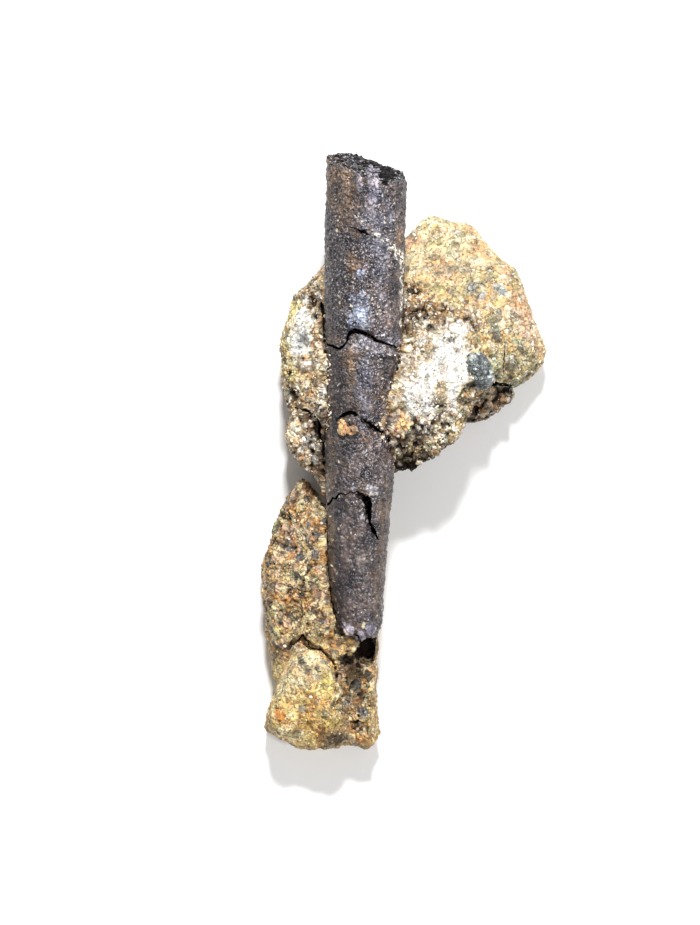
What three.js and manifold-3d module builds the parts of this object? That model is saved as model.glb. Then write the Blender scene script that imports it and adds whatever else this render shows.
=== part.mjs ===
// A fossil peg-shaped dinosaur tooth lying across two lumps of coarse sandstone matrix. Millimetres.
//
// +Y runs along the tooth, from its worn tip to its broken root end. +Z is up from the resting plane.
// The two lumps of matrix don't touch: the tooth bridges them. A crumb of matrix clings to the tooth.
// Plans and heights below are read from one datum, and the finished group is moved at the end so that
// its origin is the middle of its footprint, on the resting plane.
import * as THREE from "three";
import { ImprovedNoise } from "three/addons/math/ImprovedNoise.js";
import { mergeVertices } from "three/addons/utils/BufferGeometryUtils.js";
import Module from "manifold-3d";

const wasm = await Module();
wasm.setup();

// ---------------------------------------------------------------- driving dimensions

const CLEARANCE = 0.3; // between the tooth and the matrix that holds it
const BED_COARSENESS = 0.08; // the bed has fewer facets than the tooth, so it is cut this much wider
const TOOTH_TIP_Y = -18.1;
const TOOTH_ROOT_Y = 28.4;
const TOOTH_TIP_HEIGHT = 6.8; // of the tooth's middle, above the resting plane
const TOOTH_RISE = 0.13; // per millimetre along +Y
const TOOTH_FLATNESS = 0.86; // depth over width
const ROOT_BREAK_SLOPE = 0.33; // the broken root end leans back, so it is seen from above
const ROOT_BREAK_SKEW = 0.24; // and it drops towards +X
const TIP_BREAK_SKEW = 0.2; // the worn tip is longest towards +X
const TIP_DOME = 0.6; // how far the broken tip stands out in its middle
const TIP_ROUNDING = 0.05; // share of the width lost at the worn edge of the tip
const CHIP_DEPTH = 0.35; // of the enamel lost below the widest crack
const ROCK_RELIEF = 0.36; // how far the faces of the matrix bulge and sink
const STONE_RELIEF = 0.16; // the same for the small stones and pits
const SUNK = 1; // how far below the resting plane a lump starts, before it is cut flat there
const FOOT_SHARE = 0.16; // of a lump's rows of vertices, spent on its hidden underside

// ---------------------------------------------------------------- solids and noise

const perlin = new ImprovedNoise();

// Rounded bulges with creases between them, from about -1 to 1, about the given size across.
function bulges(x, y, z, size) {
  const coarse = Math.abs(perlin.noise(x / size, y / size, z / size));
  const fine = Math.abs(perlin.noise((2.2 * x) / size + 9, (2.2 * y) / size + 4, (2.2 * z) / size + 7));
  return 2.2 * coarse + 1.1 * fine - 1;
}

// A vertex is left out where another lies at its place, so that the faces share their corners.
function closed(geometry) {
  geometry.deleteAttribute("normal");
  geometry.deleteAttribute("uv");
  return mergeVertices(geometry, 1e-4);
}

function solidOf(geometry) {
  const merged = closed(geometry);
  return new wasm.Manifold(
    new wasm.Mesh({
      numProp: 3,
      vertProperties: new Float32Array(merged.attributes.position.array),
      triVerts: new Uint32Array(merged.index.array),
    }),
  );
}

function geometryOf(solid) {
  const mesh = solid.getMesh();
  const positions = new THREE.BufferAttribute(new Float32Array(mesh.vertProperties), mesh.numProp);
  const geometry = new THREE.BufferGeometry().setAttribute("position", positions);
  return geometry.setIndex(new THREE.BufferAttribute(new Uint32Array(mesh.triVerts), 1));
}

function joinAll(solids) {
  return solids.reduce((joined, solid) => joined.add(solid));
}

function cutAll(solid, cuts) {
  return cuts.reduce((left, cut) => left.subtract(cut), solid);
}

// Moves every vertex of a geometry: move(point) changes the point in place.
function reshape(geometry, move) {
  const positions = geometry.attributes.position;
  const point = new THREE.Vector3();
  for (let i = 0; i < positions.count; i++) {
    move(point.fromBufferAttribute(positions, i));
    positions.setXYZ(i, point.x, point.y, point.z);
  }
  return geometry;
}

// A surface through spot heights [x, y, z], level far from all of them.
function surfaceThrough(spots) {
  return (x, y) => {
    let sum = 0;
    let weights = 0;
    for (const [spotX, spotY, spotZ] of spots) {
      const weight = 1 / (0.2 + (x - spotX) ** 2 + (y - spotY) ** 2) ** 1.6;
      sum += weight * spotZ;
      weights += weight;
    }
    return sum / weights;
  };
}

// The middle and half sizes of a closed outline, and how far it lies from its middle by bearing.
function planOf(outline) {
  const corners = outline.map(([x, y]) => new THREE.Vector3(x, y, 0));
  const rim = new THREE.CatmullRomCurve3(corners, true, "catmullrom", 0.5).getSpacedPoints(180);
  const box = new THREE.Box3().setFromPoints(rim);
  const middle = box.getCenter(new THREE.Vector3());
  const half = box.getSize(new THREE.Vector3()).multiplyScalar(0.5);
  const reach = (bearing) => {
    const along = new THREE.Vector3(Math.cos(bearing), Math.sin(bearing), 0);
    let furthest = 0;
    for (let i = 0; i + 1 < rim.length; i++) {
      const from = rim[i].clone().sub(middle);
      const to = rim[i + 1].clone().sub(middle);
      const sideFrom = along.x * from.y - along.y * from.x;
      const sideTo = along.x * to.y - along.y * to.x;
      if (sideFrom * sideTo > 0 || sideFrom === sideTo) continue;
      const crossing = from.lerp(to, sideFrom / (sideFrom - sideTo));
      furthest = Math.max(furthest, crossing.dot(along));
    }
    return furthest;
  };
  return { middle, half, reach };
}

// A lump of rock: a sphere drawn out to an outline in plan. Its top follows the spot heights in crown, it
// is widest at the height waist, its foot is drawn in on the resting plane, and its faces bulge.
function lump({ outline, crown, waist, detail, foot = 0.8, shoulder = 0.84, grain = 3 }) {
  const { middle, half, reach } = planOf(outline);
  const top = surfaceThrough(crown);
  const radius = (half.x + half.y) / 2;
  const crest = top(middle.x, middle.y);
  const flank = new THREE.SplineCurve([
    new THREE.Vector2(0, -SUNK),
    new THREE.Vector2(foot * radius, -SUNK),
    new THREE.Vector2(radius, waist),
    new THREE.Vector2(shoulder * radius, THREE.MathUtils.lerp(waist, crest, 0.86)),
    new THREE.Vector2(shoulder * 0.5 * radius, crest),
    new THREE.Vector2(0, crest),
  ]);
  const footRun = (foot * radius) / flank.getLength();
  return solidOf(
    reshape(closed(new THREE.IcosahedronGeometry(1, detail)), (point) => {
      const facing = point.clone();
      const row = Math.asin(THREE.MathUtils.clamp(point.z, -1, 1)) / Math.PI + 0.5;
      const run = row < FOOT_SHARE
        ? (row / FOOT_SHARE) * footRun
        : THREE.MathUtils.mapLinear(row, FOOT_SHARE, 1, footRun, 1);
      const onFlank = flank.getPointAt(THREE.MathUtils.clamp(run, 0, 1));
      const bearing = Math.atan2(point.y * half.y, point.x * half.x);
      const out = Math.min(onFlank.x / radius, 1) * reach(bearing);
      const x = middle.x + out * Math.cos(bearing);
      const y = middle.y + out * Math.sin(bearing);
      const lift = (onFlank.y - waist) / (crest - waist);
      const z = lift > 0 ? waist + lift * (top(x, y) - waist) : onFlank.y;
      point.set(x, y, z).addScaledVector(facing, ROCK_RELIEF * bulges(x, y, z, grain));
    }),
  );
}

// A rough stone or pit, by its middle and its half sizes.
function pebble(middle, halfSizes, detail = 1) {
  return solidOf(
    reshape(closed(new THREE.IcosahedronGeometry(1, detail)), (point) => {
      point.multiply(new THREE.Vector3(...halfSizes)).add(new THREE.Vector3(...middle));
      const { x, y, z } = point;
      point.x += STONE_RELIEF * bulges(x, y, z, 1.1);
      point.y += STONE_RELIEF * bulges(y, z, x, 1.1);
      point.z += STONE_RELIEF * bulges(z, x, y, 1.1);
    }),
  );
}

const pebbles = (places) => places.map(([middle, halfSizes]) => pebble(middle, halfSizes));

// An upright block with an outline in plan, from height low to height high.
function column(outline, low, high) {
  const shape = new THREE.Shape(outline.map(([x, y]) => new THREE.Vector2(x, y)));
  const geometry = new THREE.ExtrudeGeometry(shape, { depth: high - low, bevelEnabled: false });
  return solidOf(geometry.translate(0, 0, low));
}

// A jagged gap along the points [x, y, width], from height low to height high.
function crack(points, low, high) {
  const sides = points.map(([x, y, width], i) => {
    const before = points[Math.max(i - 1, 0)];
    const after = points[Math.min(i + 1, points.length - 1)];
    const along = new THREE.Vector2(after[0] - before[0], after[1] - before[1]).normalize();
    const aside = new THREE.Vector2(-along.y, along.x).multiplyScalar(width / 2);
    return [
      [x + aside.x, y + aside.y],
      [x - aside.x, y - aside.y],
    ];
  });
  const outline = [...sides.map((side) => side[1]), ...sides.map((side) => side[0]).reverse()];
  return column(outline, low, high);
}

// ---------------------------------------------------------------- tooth

// [y, x of the middle, width] along the tooth, from the tip to the root.
const TOOTH_STATIONS = [
  [-18.6, -4.7, 4.2],
  [-17.4, -4.65, 4.75],
  [-15.4, -4.72, 5.2],
  [-13.1, -4.8, 5.5],
  [-9.7, -4.8, 5.9],
  [-5.1, -4.7, 6.5],
  [0, -4.5, 7.05],
  [7.2, -4.35, 7.25],
  [11.7, -4.15, 7.55],
  [18.8, -4.05, 7.95],
  [28.4, -3.82, 7.95],
];

function toothAt(y) {
  const last = TOOTH_STATIONS.length - 1;
  let i = 0;
  while (i < last - 1 && TOOTH_STATIONS[i + 1][0] < y) i++;
  const [y0, x0, width0] = TOOTH_STATIONS[i];
  const [y1, x1, width1] = TOOTH_STATIONS[i + 1];
  const share = THREE.MathUtils.clamp((y - y0) / (y1 - y0), 0, 1);
  return {
    x: THREE.MathUtils.lerp(x0, x1, share),
    halfWidth: THREE.MathUtils.lerp(width0, width1, share) / 2,
    z: TOOTH_TIP_HEIGHT + TOOTH_RISE * (y - TOOTH_TIP_Y),
  };
}

// The tooth without its cracks, grown on every side. Its section is a flattened round, faintly faceted,
// and both ends are broken across.
function toothBody({ grow = 0, sides = 24, steps = 26 } = {}) {
  const profile = [0, 0.4, 0.78].map((r) => new THREE.Vector2(r, 0));
  for (let i = 0; i <= steps; i++) profile.push(new THREE.Vector2(1, i / steps));
  for (const r of [0.78, 0.4, 0]) profile.push(new THREE.Vector2(r, 1));
  const lathe = closed(new THREE.LatheGeometry(profile, sides));
  return solidOf(
    reshape(lathe, (point) => {
      const share = point.y;
      const rounding = 1 - TIP_ROUNDING * Math.max(0, 1 - share * 30) ** 2;
      const turn = Math.atan2(point.z, point.x);
      const out = Math.hypot(point.x, point.z);
      const level = THREE.MathUtils.lerp(TOOTH_TIP_Y, TOOTH_ROOT_Y, share);
      const { x: middleX, halfWidth, z: middleZ } = toothAt(level);
      const swell = 1 + 0.018 * Math.cos(2 * turn) + 0.014 * Math.cos(5 * turn + 0.12 * level);
      const x = out * Math.cos(turn) * (halfWidth * swell * rounding + grow);
      const z = out * Math.sin(turn) * (halfWidth * TOOTH_FLATNESS * swell * rounding + grow);
      const pits = 0.3 * bulges(x + 40, 0.2 * level, z, 1.9);
      const rootEnd = TOOTH_ROOT_Y - ROOT_BREAK_SLOPE * z - ROOT_BREAK_SKEW * x + pits + grow;
      const tipEnd = TOOTH_TIP_Y - TIP_BREAK_SKEW * x - TIP_DOME * (1 - out * out) + pits - grow;
      const y = THREE.MathUtils.lerp(tipEnd, rootEnd, share);
      const wear = 0.07 * out * bulges(x, y, z, 3.4);
      point.set(middleX + x + wear * Math.cos(turn), y, middleZ + z + wear * Math.sin(turn));
    }),
  );
}

// [x, y, width] along each crack.
const UPPER_CRACK = [
  [-5.3, 22.3, 0.06],
  [-4.7, 22.0, 0.22],
  [-4.1, 21.8, 0.3],
  [-3.4, 21.5, 0.06],
];
const WIDE_CRACK = [
  [-8.4, 10.9, 0.18],
  [-7.1, 10.4, 0.2],
  [-6.5, 10.2, 0.24],
  [-5.9, 10.7, 0.24],
  [-5.6, 11.8, 0.28],
  [-5.0, 12.1, 0.42],
  [-4.1, 11.8, 0.46],
  [-3.0, 11.1, 0.34],
  [-1.9, 10.7, 0.3],
  [-0.5, 10.2, 0.16],
];
const MIDDLE_CRACK = [
  [-6.9, 3.1, 0.1],
  [-6.1, 3.7, 0.34],
  [-5.3, 3.9, 0.36],
  [-4.6, 3.5, 0.16],
  [-4.1, 3.0, 0.3],
  [-3.4, 2.5, 0.42],
  [-2.6, 2.1, 0.3],
  [-1.5, 1.7, 0.1],
];
const LOWER_CRACK = [
  [-8.2, -4.8, 0.3],
  [-7.6, -5.3, 0.26],
  [-7.0, -4.8, 0.18],
  [-6.2, -4.4, 0.14],
  [-5.1, -4.2, 0.2],
  [-4.5, -4.5, 0.5],
  [-3.75, -5.0, 0.62],
  [-3.65, -6.0, 0.56],
  [-3.8, -7.0, 0.5],
  [-3.2, -7.9, 0.36],
  [-2.5, -8.9, 0.1],
];
// Where the enamel is chipped away below the wide crack.
const CHIPPED_BAND = [
  [-5.9, 10.5],
  [-5.4, 11.9],
  [-4.1, 11.9],
  [-1.8, 10.8],
  [-0.5, 10.1],
  [-1.2, 9.7],
  [-3.0, 9.6],
  [-3.9, 9.5],
  [-5.2, 10.0],
];
const TOOTH_TOP = 20; // a height above all of the tooth

function tooth() {
  const body = toothBody();
  const around = toothBody({ grow: 1, sides: 16, steps: 12 });
  const enamel = around.subtract(toothBody({ grow: -CHIP_DEPTH, sides: 20, steps: 20 }));
  return cutAll(body, [
    enamel.intersect(column(CHIPPED_BAND, toothAt(11).z + 0.6, TOOTH_TOP)),
    crack(UPPER_CRACK, toothAt(22).z + 2, TOOTH_TOP),
    crack(WIDE_CRACK, toothAt(11).z + 0.2, TOOTH_TOP),
    crack(MIDDLE_CRACK, toothAt(3).z + 1.2, TOOTH_TOP),
    crack(LOWER_CRACK, toothAt(-6).z + 0.2, TOOTH_TOP),
    pebble([-4.3, 27.9, 16.3], [0.7, 1.2, 1.1]),
  ]);
}

// What the matrix has to leave free: the tooth with its clearance.
const bed = toothBody({ grow: CLEARANCE + BED_COARSENESS, sides: 18, steps: 15 });

// Everything below the resting plane, which both lumps of matrix are worn down to.
const below = solidOf(new THREE.BoxGeometry(120, 120, 20).translate(0, 0, -10));

// ---------------------------------------------------------------- upper matrix

function backLobe() {
  return lump({
    outline: [
      [0.2, 21.8], [1.6, 23.6], [3.2, 23.9], [4.9, 23.3], [6.7, 23.1], [7.8, 21.9], [8.8, 20.4],
      [10.5, 19.1], [11.6, 18.2], [12.4, 15.6], [13.2, 13.0], [14.1, 11.4], [14.4, 9.9], [13.7, 8.3],
      [12.3, 6.9], [10.6, 6.2], [7.5, 5.0], [2.5, 3.0], [-4, 2.5], [-8, 7], [-8, 14], [-4.4, 19],
    ],
    crown: [
      [1.5, 21, 5.6], [5, 21, 5.2], [1, 17, 7.6], [6, 17, 7.2], [10, 16, 5.8], [2, 13.5, 9.6],
      [7, 12.5, 9.0], [11, 12, 6.8], [9, 9, 8.6], [12, 9.5, 6.6], [-4, 15, 6.8], [-6, 8, 7],
    ],
    waist: 3.2,
    detail: 8,
  });
}

function ledge() {
  return lump({
    outline: [
      [-2.4, 11.8], [0.5, 11.6], [2.6, 12.3], [4.6, 12.2], [6.1, 11.0], [6.5, 9.2], [7.0, 7.2],
      [6.9, 5.2], [6.1, 2.4], [5.0, 1.1], [3.8, 0.3], [2.2, -0.6], [0.8, -1.5], [-0.9, -2.1],
      [-2.8, -2.6], [-4.9, -1.6], [-5.2, 2.5], [-4.9, 7],
    ],
    crown: [
      [-0.6, 9.8, 11.6], [2, 9.6, 12.4], [4.6, 9.6, 12.1], [-1.7, 6.6, 12.6], [2.2, 6, 13.1], [5.2, 6, 12.4],
      [-2.5, 2.2, 12.9], [0.6, 2.2, 12.2], [4.2, 2.6, 10.9], [-2, -0.6, 10.6], [1.0, -0.4, 9.6], [-4, 5, 12.2],
      [-4, 1, 11.6],
    ],
    waist: 8.4,
    foot: 0.72,
    shoulder: 0.86,
    detail: 7,
    grain: 2.4,
  });
}

function leftLobe() {
  return lump({
    outline: [
      [-7.7, 19.2], [-8.8, 18.1], [-10.1, 17.0], [-11.1, 15.6], [-11.8, 13.9], [-12.3, 11.6],
      [-12.5, 9.0], [-12.3, 6.4], [-11.8, 4.4], [-11.4, 2.8], [-12.1, 1.6], [-11.9, 0.4],
      [-10.9, -1.0], [-9.8, -2.1], [-8.8, -3.0], [-8.4, -4.4], [-7.6, -5.0], [-6.0, -3.4],
      [-3.2, -1.0], [-2.4, 6], [-2.8, 13], [-4.6, 18],
    ],
    crown: [
      [-7.8, 16.5, 9.6], [-10.2, 14.6, 7.6], [-8.4, 12, 11.0], [-11, 10.5, 7.8], [-7.8, 8.6, 12.1],
      [-10.4, 7, 9.4], [-7.6, 4, 11.8], [-9.8, 3.2, 9.4], [-7.5, 0.8, 10.9], [-10.6, 0.4, 7.8],
      [-8.4, -2, 8.9], [-5, 0, 10.4], [-5, 5, 11.6], [-5, 10, 12.0],
    ],
    waist: 4.6,
    shoulder: 0.88,
    detail: 6,
    grain: 2.8,
  });
}

// A low knob that shows below the back lobe, beside the ledge.
function lowKnob() {
  return lump({
    outline: [
      [6.0, 7.2], [9.6, 7.0], [11.2, 6.2], [10.5, 4.9], [9.2, 3.9], [7.8, 3.0], [5.8, 2.8], [4.2, 4.8],
    ],
    crown: [[7.5, 5.6, 6.0], [9.5, 5.6, 5.2], [8.2, 4, 4.8]],
    waist: 2.6,
    detail: 3,
    grain: 1.8,
  });
}

// [middle, half sizes] of the clasts and crumbs that stand out of the upper matrix, and of its hollows.
const UPPER_CLASTS = [
  [[7.0, 8.4, 10.3], [1.2, 2.1, 1.6]],
  [[8.2, 5.0, 5.2], [1.1, 1.0, 1.0]],
  [[10.0, 5.6, 4.6], [0.9, 0.9, 0.9]],
  [[-0.4, 1.0, 11.4], [1.4, 1.2, 1.1]],
  [[2.8, 0.9, 10.0], [1.3, 1.1, 1.2]],
  [[0.4, -1.0, 8.9], [1.1, 1.0, 1.1]],
  [[-10.9, 1.1, 7.2], [1.1, 0.9, 1.0]],
  [[-9.0, -1.1, 8.2], [1.1, 1.0, 1.0]],
  [[-9.8, 9.4, 9.6], [1.1, 1.3, 0.9]],
];
const UPPER_HOLLOWS = [
  [[-10.2, 3.2, 10.0], [1.5, 0.7, 1.3]],
  [[-8.3, 13.2, 11.4], [0.5, 2.6, 1.6]],
  [[1.6, 13.8, 10.6], [2.2, 0.9, 1.2]],
  [[9.2, 7.2, 9.0], [0.9, 0.7, 1.1]],
];

function upperMatrix() {
  const rock = joinAll([backLobe(), ledge(), leftLobe(), lowKnob(), ...pebbles(UPPER_CLASTS)]);
  return cutAll(rock, [...pebbles(UPPER_HOLLOWS), bed, below]);
}

// ---------------------------------------------------------------- lower matrix

function slab() {
  return lump({
    outline: [
      [-10.3, -2.3], [-11.3, -3.5], [-12.1, -4.8], [-12.9, -6.2], [-13.6, -8.2], [-14.1, -10.4],
      [-14.4, -12.8], [-14.3, -15.0], [-14.0, -17.2], [-14.0, -19.4], [-13.5, -21.4], [-12.6, -23.6],
      [-9, -25.4], [-5, -25.2], [-2.9, -23.4], [-2.7, -20.4], [-2.7, -16], [-3.0, -10], [-3.3, -6.8],
      [-5.0, -5.6], [-7.6, -5.2], [-8.7, -4.2], [-9.7, -2.9],
    ],
    crown: [
      [-10.2, -4.2, 6.6], [-12.4, -8, 6.6], [-9, -7, 8.2], [-7.9, -10, 8.4], [-12.6, -13, 6.9],
      [-9.6, -13, 8.4], [-7.2, -16, 8.2], [-12.4, -17.4, 6.8], [-9.2, -17.6, 8.0], [-12.8, -21.4, 5.4],
      [-5.6, -19.4, 7.0], [-3.4, -20.4, 6.0], [-4.6, -23, 6.4], [-4, -10, 6.2],
    ],
    waist: 3.4,
    detail: 8,
    grain: 2.6,
  });
}

function toeBlock() {
  return lump({
    outline: [
      [-10.3, -18.9], [-11.4, -20.0], [-12.4, -21.8], [-12.8, -23.4], [-13.3, -25.0], [-14.1, -26.6],
      [-13.8, -28.2], [-12.2, -29.2], [-9.6, -29.8], [-7.2, -29.9], [-5.7, -28.9], [-5.4, -26.8],
      [-5.9, -24.4], [-6.7, -22.2], [-7.6, -20.4], [-9.0, -19.5],
    ],
    crown: [
      [-10.2, -20.2, 8.8], [-8.2, -21.4, 8.8], [-11.2, -22.4, 8.6], [-8, -24.4, 8.8], [-11.4, -26, 7.8],
      [-7.4, -27.6, 7.6], [-10, -28.6, 6.6],
    ],
    waist: 3.4,
    shoulder: 0.9,
    detail: 5,
    grain: 2.4,
  });
}

function heel() {
  return lump({
    outline: [
      [-7.5, -21], [-5.0, -20.4], [-2.9, -20.6], [-2.6, -22.6], [-2.8, -24.6], [-2.7, -27.0],
      [-2.7, -29.0], [-3.6, -30.0], [-5.0, -29.7], [-7.0, -28.8], [-8, -25],
    ],
    crown: [[-4.2, -22.4, 6.2], [-3.2, -24.6, 6.2], [-5.6, -24, 6.4], [-4, -27.4, 6.0], [-5.8, -28, 5.8]],
    waist: 3.0,
    detail: 3,
    grain: 2.2,
  });
}

const LOWER_CLASTS = [
  [[-12.0, -27.4, 6.4], [1.3, 1.2, 1.1]],
  [[-9.2, -23.2, 8.2], [1.2, 1.1, 0.9]],
  [[-7.4, -25.6, 8.0], [1.0, 1.2, 0.9]],
  [[-11.2, -11.4, 7.2], [1.1, 0.8, 0.8]],
  [[-4.2, -26.2, 5.6], [1.0, 1.1, 0.9]],
];
const LOWER_HOLLOWS = [
  [[-3.7, -19.9, 5.6], [1.1, 1.4, 2.4]], // under the tip of the tooth
  [[-6.8, -30.1, 4.6], [1.5, 0.9, 1.6]],
  [[-13.3, -20.6, 6.6], [0.9, 0.7, 1.2]],
  [[-10.9, -15.0, 8.8], [0.9, 0.5, 0.8]],
];

// The crack between the slab and the toe block.
const MATRIX_CRACK = [
  [-13.4, -20.6, 0.3],
  [-11.9, -19.9, 0.34],
  [-11.1, -19.0, 0.36],
  [-10.3, -18.5, 0.66],
  [-9.8, -19.2, 0.42],
  [-9.3, -19.6, 0.34],
  [-8.5, -19.7, 0.34],
  [-7.9, -20.3, 0.3],
  [-7.0, -21.3, 0.26],
  [-6.8, -22.6, 0.22],
  [-6.4, -23.6, 0.1],
];

function lowerMatrix() {
  const rock = joinAll([slab(), toeBlock(), heel(), ...pebbles(LOWER_CLASTS)]);
  const split = crack(MATRIX_CRACK, 5.6, 14);
  const mould = pebble([-4.1, -24.2, 8.9], [2.0, 6.4, 3.2], 2); // left by the lost tip of the tooth
  return cutAll(rock, [split, mould, ...pebbles(LOWER_HOLLOWS), bed, below]);
}

// ---------------------------------------------------------------- clinging crumb

function crumb() {
  const pale = pebble([-6.1, 2.6, 12.0], [0.8, 1.0, 1.0]);
  const dark = pebble([-5.1, 2.3, 12.3], [0.85, 0.75, 0.8]);
  return pale.add(dark).subtract(bed);
}

// ---------------------------------------------------------------- assembly

const enamel = new THREE.MeshStandardMaterial({ color: 0x4a4242, roughness: 0.45, metalness: 0 });
const paleSandstone = new THREE.MeshStandardMaterial({ color: 0xc8b48c, roughness: 0.95, metalness: 0 });
const ochreSandstone = new THREE.MeshStandardMaterial({ color: 0xb2905a, roughness: 0.95, metalness: 0 });
const pinkGrain = new THREE.MeshStandardMaterial({ color: 0xc08a62, roughness: 0.8, metalness: 0 });

const fossil = new THREE.Group();
for (const [name, solid, material] of [
  ["tooth", tooth(), enamel],
  ["upper_matrix", upperMatrix(), paleSandstone],
  ["lower_matrix", lowerMatrix(), ochreSandstone],
  ["clinging_crumb", crumb(), pinkGrain],
]) {
  const mesh = new THREE.Mesh(geometryOf(solid), material);
  mesh.name = name;
  fossil.add(mesh);
}

const footprint = new THREE.Box3().setFromObject(fossil);
const centre = footprint.getCenter(new THREE.Vector3());
fossil.position.set(-centre.x, -centre.y, -footprint.min.z);

export default fossil;
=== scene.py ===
"""Looks of a fossil dinosaur tooth that lies in two lumps of sandstone.

Each CAD solid is replaced by a fine mesh grown from it: its surface is remeshed evenly, sand grains and
rounded lumps are raised out of it, cracks are cut into it, and loose angular grains sit on it. The mesh code
works in millimetres, and a finished piece is turned to metres.
"""

import math
from itertools import combinations

import bmesh
import bpy
import numpy as np
from mathutils import Matrix, Vector
from mathutils.bvhtree import BVHTree
from mathutils.kdtree import KDTree


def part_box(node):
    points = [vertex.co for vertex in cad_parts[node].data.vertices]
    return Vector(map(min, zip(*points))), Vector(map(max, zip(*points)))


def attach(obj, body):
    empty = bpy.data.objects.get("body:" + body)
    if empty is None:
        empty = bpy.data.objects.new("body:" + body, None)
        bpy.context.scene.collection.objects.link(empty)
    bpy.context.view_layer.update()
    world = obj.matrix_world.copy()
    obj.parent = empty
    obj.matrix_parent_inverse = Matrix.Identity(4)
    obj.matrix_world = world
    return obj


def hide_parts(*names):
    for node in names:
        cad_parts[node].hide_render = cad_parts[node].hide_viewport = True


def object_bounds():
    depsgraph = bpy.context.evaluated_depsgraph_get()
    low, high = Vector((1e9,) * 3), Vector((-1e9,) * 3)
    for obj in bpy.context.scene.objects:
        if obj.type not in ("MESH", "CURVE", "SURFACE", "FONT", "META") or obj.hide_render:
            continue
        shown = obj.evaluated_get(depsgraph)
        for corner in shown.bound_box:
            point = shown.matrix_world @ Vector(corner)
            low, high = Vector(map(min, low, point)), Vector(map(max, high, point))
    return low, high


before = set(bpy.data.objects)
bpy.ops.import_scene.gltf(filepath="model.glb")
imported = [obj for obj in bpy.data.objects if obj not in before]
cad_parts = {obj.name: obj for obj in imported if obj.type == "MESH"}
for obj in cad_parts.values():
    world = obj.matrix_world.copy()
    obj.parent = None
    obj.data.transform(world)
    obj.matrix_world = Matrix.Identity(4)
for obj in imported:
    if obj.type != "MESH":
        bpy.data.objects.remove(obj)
CAD_LOW, CAD_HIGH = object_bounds()
MM = 0.001
# The CAD's box in millimetres, which no vertex leaves.
BOX = np.array(CAD_LOW) / MM, np.array(CAD_HIGH) / MM


# ---------------- colours

def srgb(red, green, blue):
    """A colour given as 0 to 255, as linear light."""
    share = np.array([red, green, blue]) / 255
    return np.where(share <= 0.04045, share / 12.92, ((share + 0.055) / 1.055) ** 2.4)


CREAM = srgb(242, 226, 188)
BUTTER = srgb(252, 240, 184)
STRAW = srgb(224, 204, 158)
BUFF = srgb(206, 180, 146)
GOLD = srgb(200, 170, 120)
HONEY = srgb(252, 230, 166)
AMBER = srgb(222, 158, 78)
OCHRE = srgb(178, 132, 78)
RUST = srgb(172, 122, 72)
BROWN = srgb(126, 98, 68)
UMBER = srgb(74, 56, 42)
BLACK = srgb(24, 19, 17)
PEACH = srgb(240, 196, 156)
PINK = srgb(232, 202, 182)
CHALK = srgb(250, 248, 244)
WHITE = np.ones(3)
ASH = srgb(196, 184, 166)
SKY = srgb(168, 180, 194)
SLATE = srgb(120, 130, 140)
IRON = srgb(70, 74, 78)
STONE = srgb(150, 152, 134)
OLIVE = srgb(158, 148, 116)
MOSS = srgb(150, 162, 126)
MINT = srgb(176, 194, 158)
LEMON = srgb(242, 234, 172)


# ---------------- meshes as arrays

def rows_of(data, field, width, kind=np.float32):
    """A field of Blender's data as an array with this many columns."""
    flat = np.empty(len(data) * width, kind)
    data.foreach_get(field, flat)
    return flat.reshape(-1, width)


def points_of(mesh):
    """The mesh's vertices as rows of x, y, z."""
    return rows_of(mesh.vertices, "co", 3).astype(float)


def normals_of(mesh):
    """The mesh's vertex normals as rows."""
    return rows_of(mesh.vertices, "normal", 3).astype(float)


def edges_of(mesh):
    """The mesh's edges as rows of two vertex numbers."""
    return rows_of(mesh.edges, "vertices", 2, np.int32)


def put_points(mesh, points):
    """Moves the mesh's vertices to these rows."""
    mesh.vertices.foreach_set("co", points.astype(np.float32).ravel())
    mesh.update()


# How each kind of stored value is kept: its field, and how many numbers it has.
VALUE_FIELDS = {"FLOAT": ("value", 1), "FLOAT_VECTOR": ("vector", 3), "FLOAT_COLOR": ("color", 4)}


def read(mesh, name):
    """A stored value of every vertex, as rows."""
    layer = mesh.attributes[name]
    return rows_of(layer.data, *VALUE_FIELDS[layer.data_type]).astype(float)


def store(mesh, **kept):
    """Keeps numbers or colours on every vertex, each under its name, for the material to read."""
    for name, values in kept.items():
        kind = "FLOAT" if np.ndim(values) < 2 else "FLOAT_COLOR"
        field, width = VALUE_FIELDS[kind]
        full = np.ones((len(mesh.vertices), width), np.float32)
        full[:, :3] = np.reshape(values, (-1, min(width, 3)))
        mesh.attributes.new(name, kind, "POINT").data.foreach_set(field, full.ravel())


def neighbours_mean(values, edges, counts):
    """For each vertex, the mean of its neighbours' values."""
    columns = []
    for column in values.T:
        total = np.bincount(edges[:, 0], column[edges[:, 1]], len(values))
        total += np.bincount(edges[:, 1], column[edges[:, 0]], len(values))
        columns.append(total / counts)
    return np.stack(columns, 1)


def relaxed(values, edges, rounds, freedom=1.0):
    """The values evened out over the mesh. freedom is 0 where a vertex keeps its own."""
    counts = np.maximum(np.bincount(edges.ravel(), minlength=len(values)), 1)
    for _ in range(rounds):
        values = values + (neighbours_mean(values, edges, counts) - values) * freedom
    return values


def smoothstep(low, high, value):
    """0 below low, 1 above high, and an even turn between."""
    share = np.clip((value - low) / (high - low), 0, 1)
    return share * share * (3 - 2 * share)


def unit(rows):
    """Each row at length 1."""
    return rows / np.maximum(np.linalg.norm(rows, axis=1, keepdims=True), 1e-12)


# ---------------- objects and modifiers

def linked_object(name, data):
    """A new object in the scene."""
    thing = bpy.data.objects.new(name, data)
    bpy.context.scene.collection.objects.link(thing)
    return thing


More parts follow.
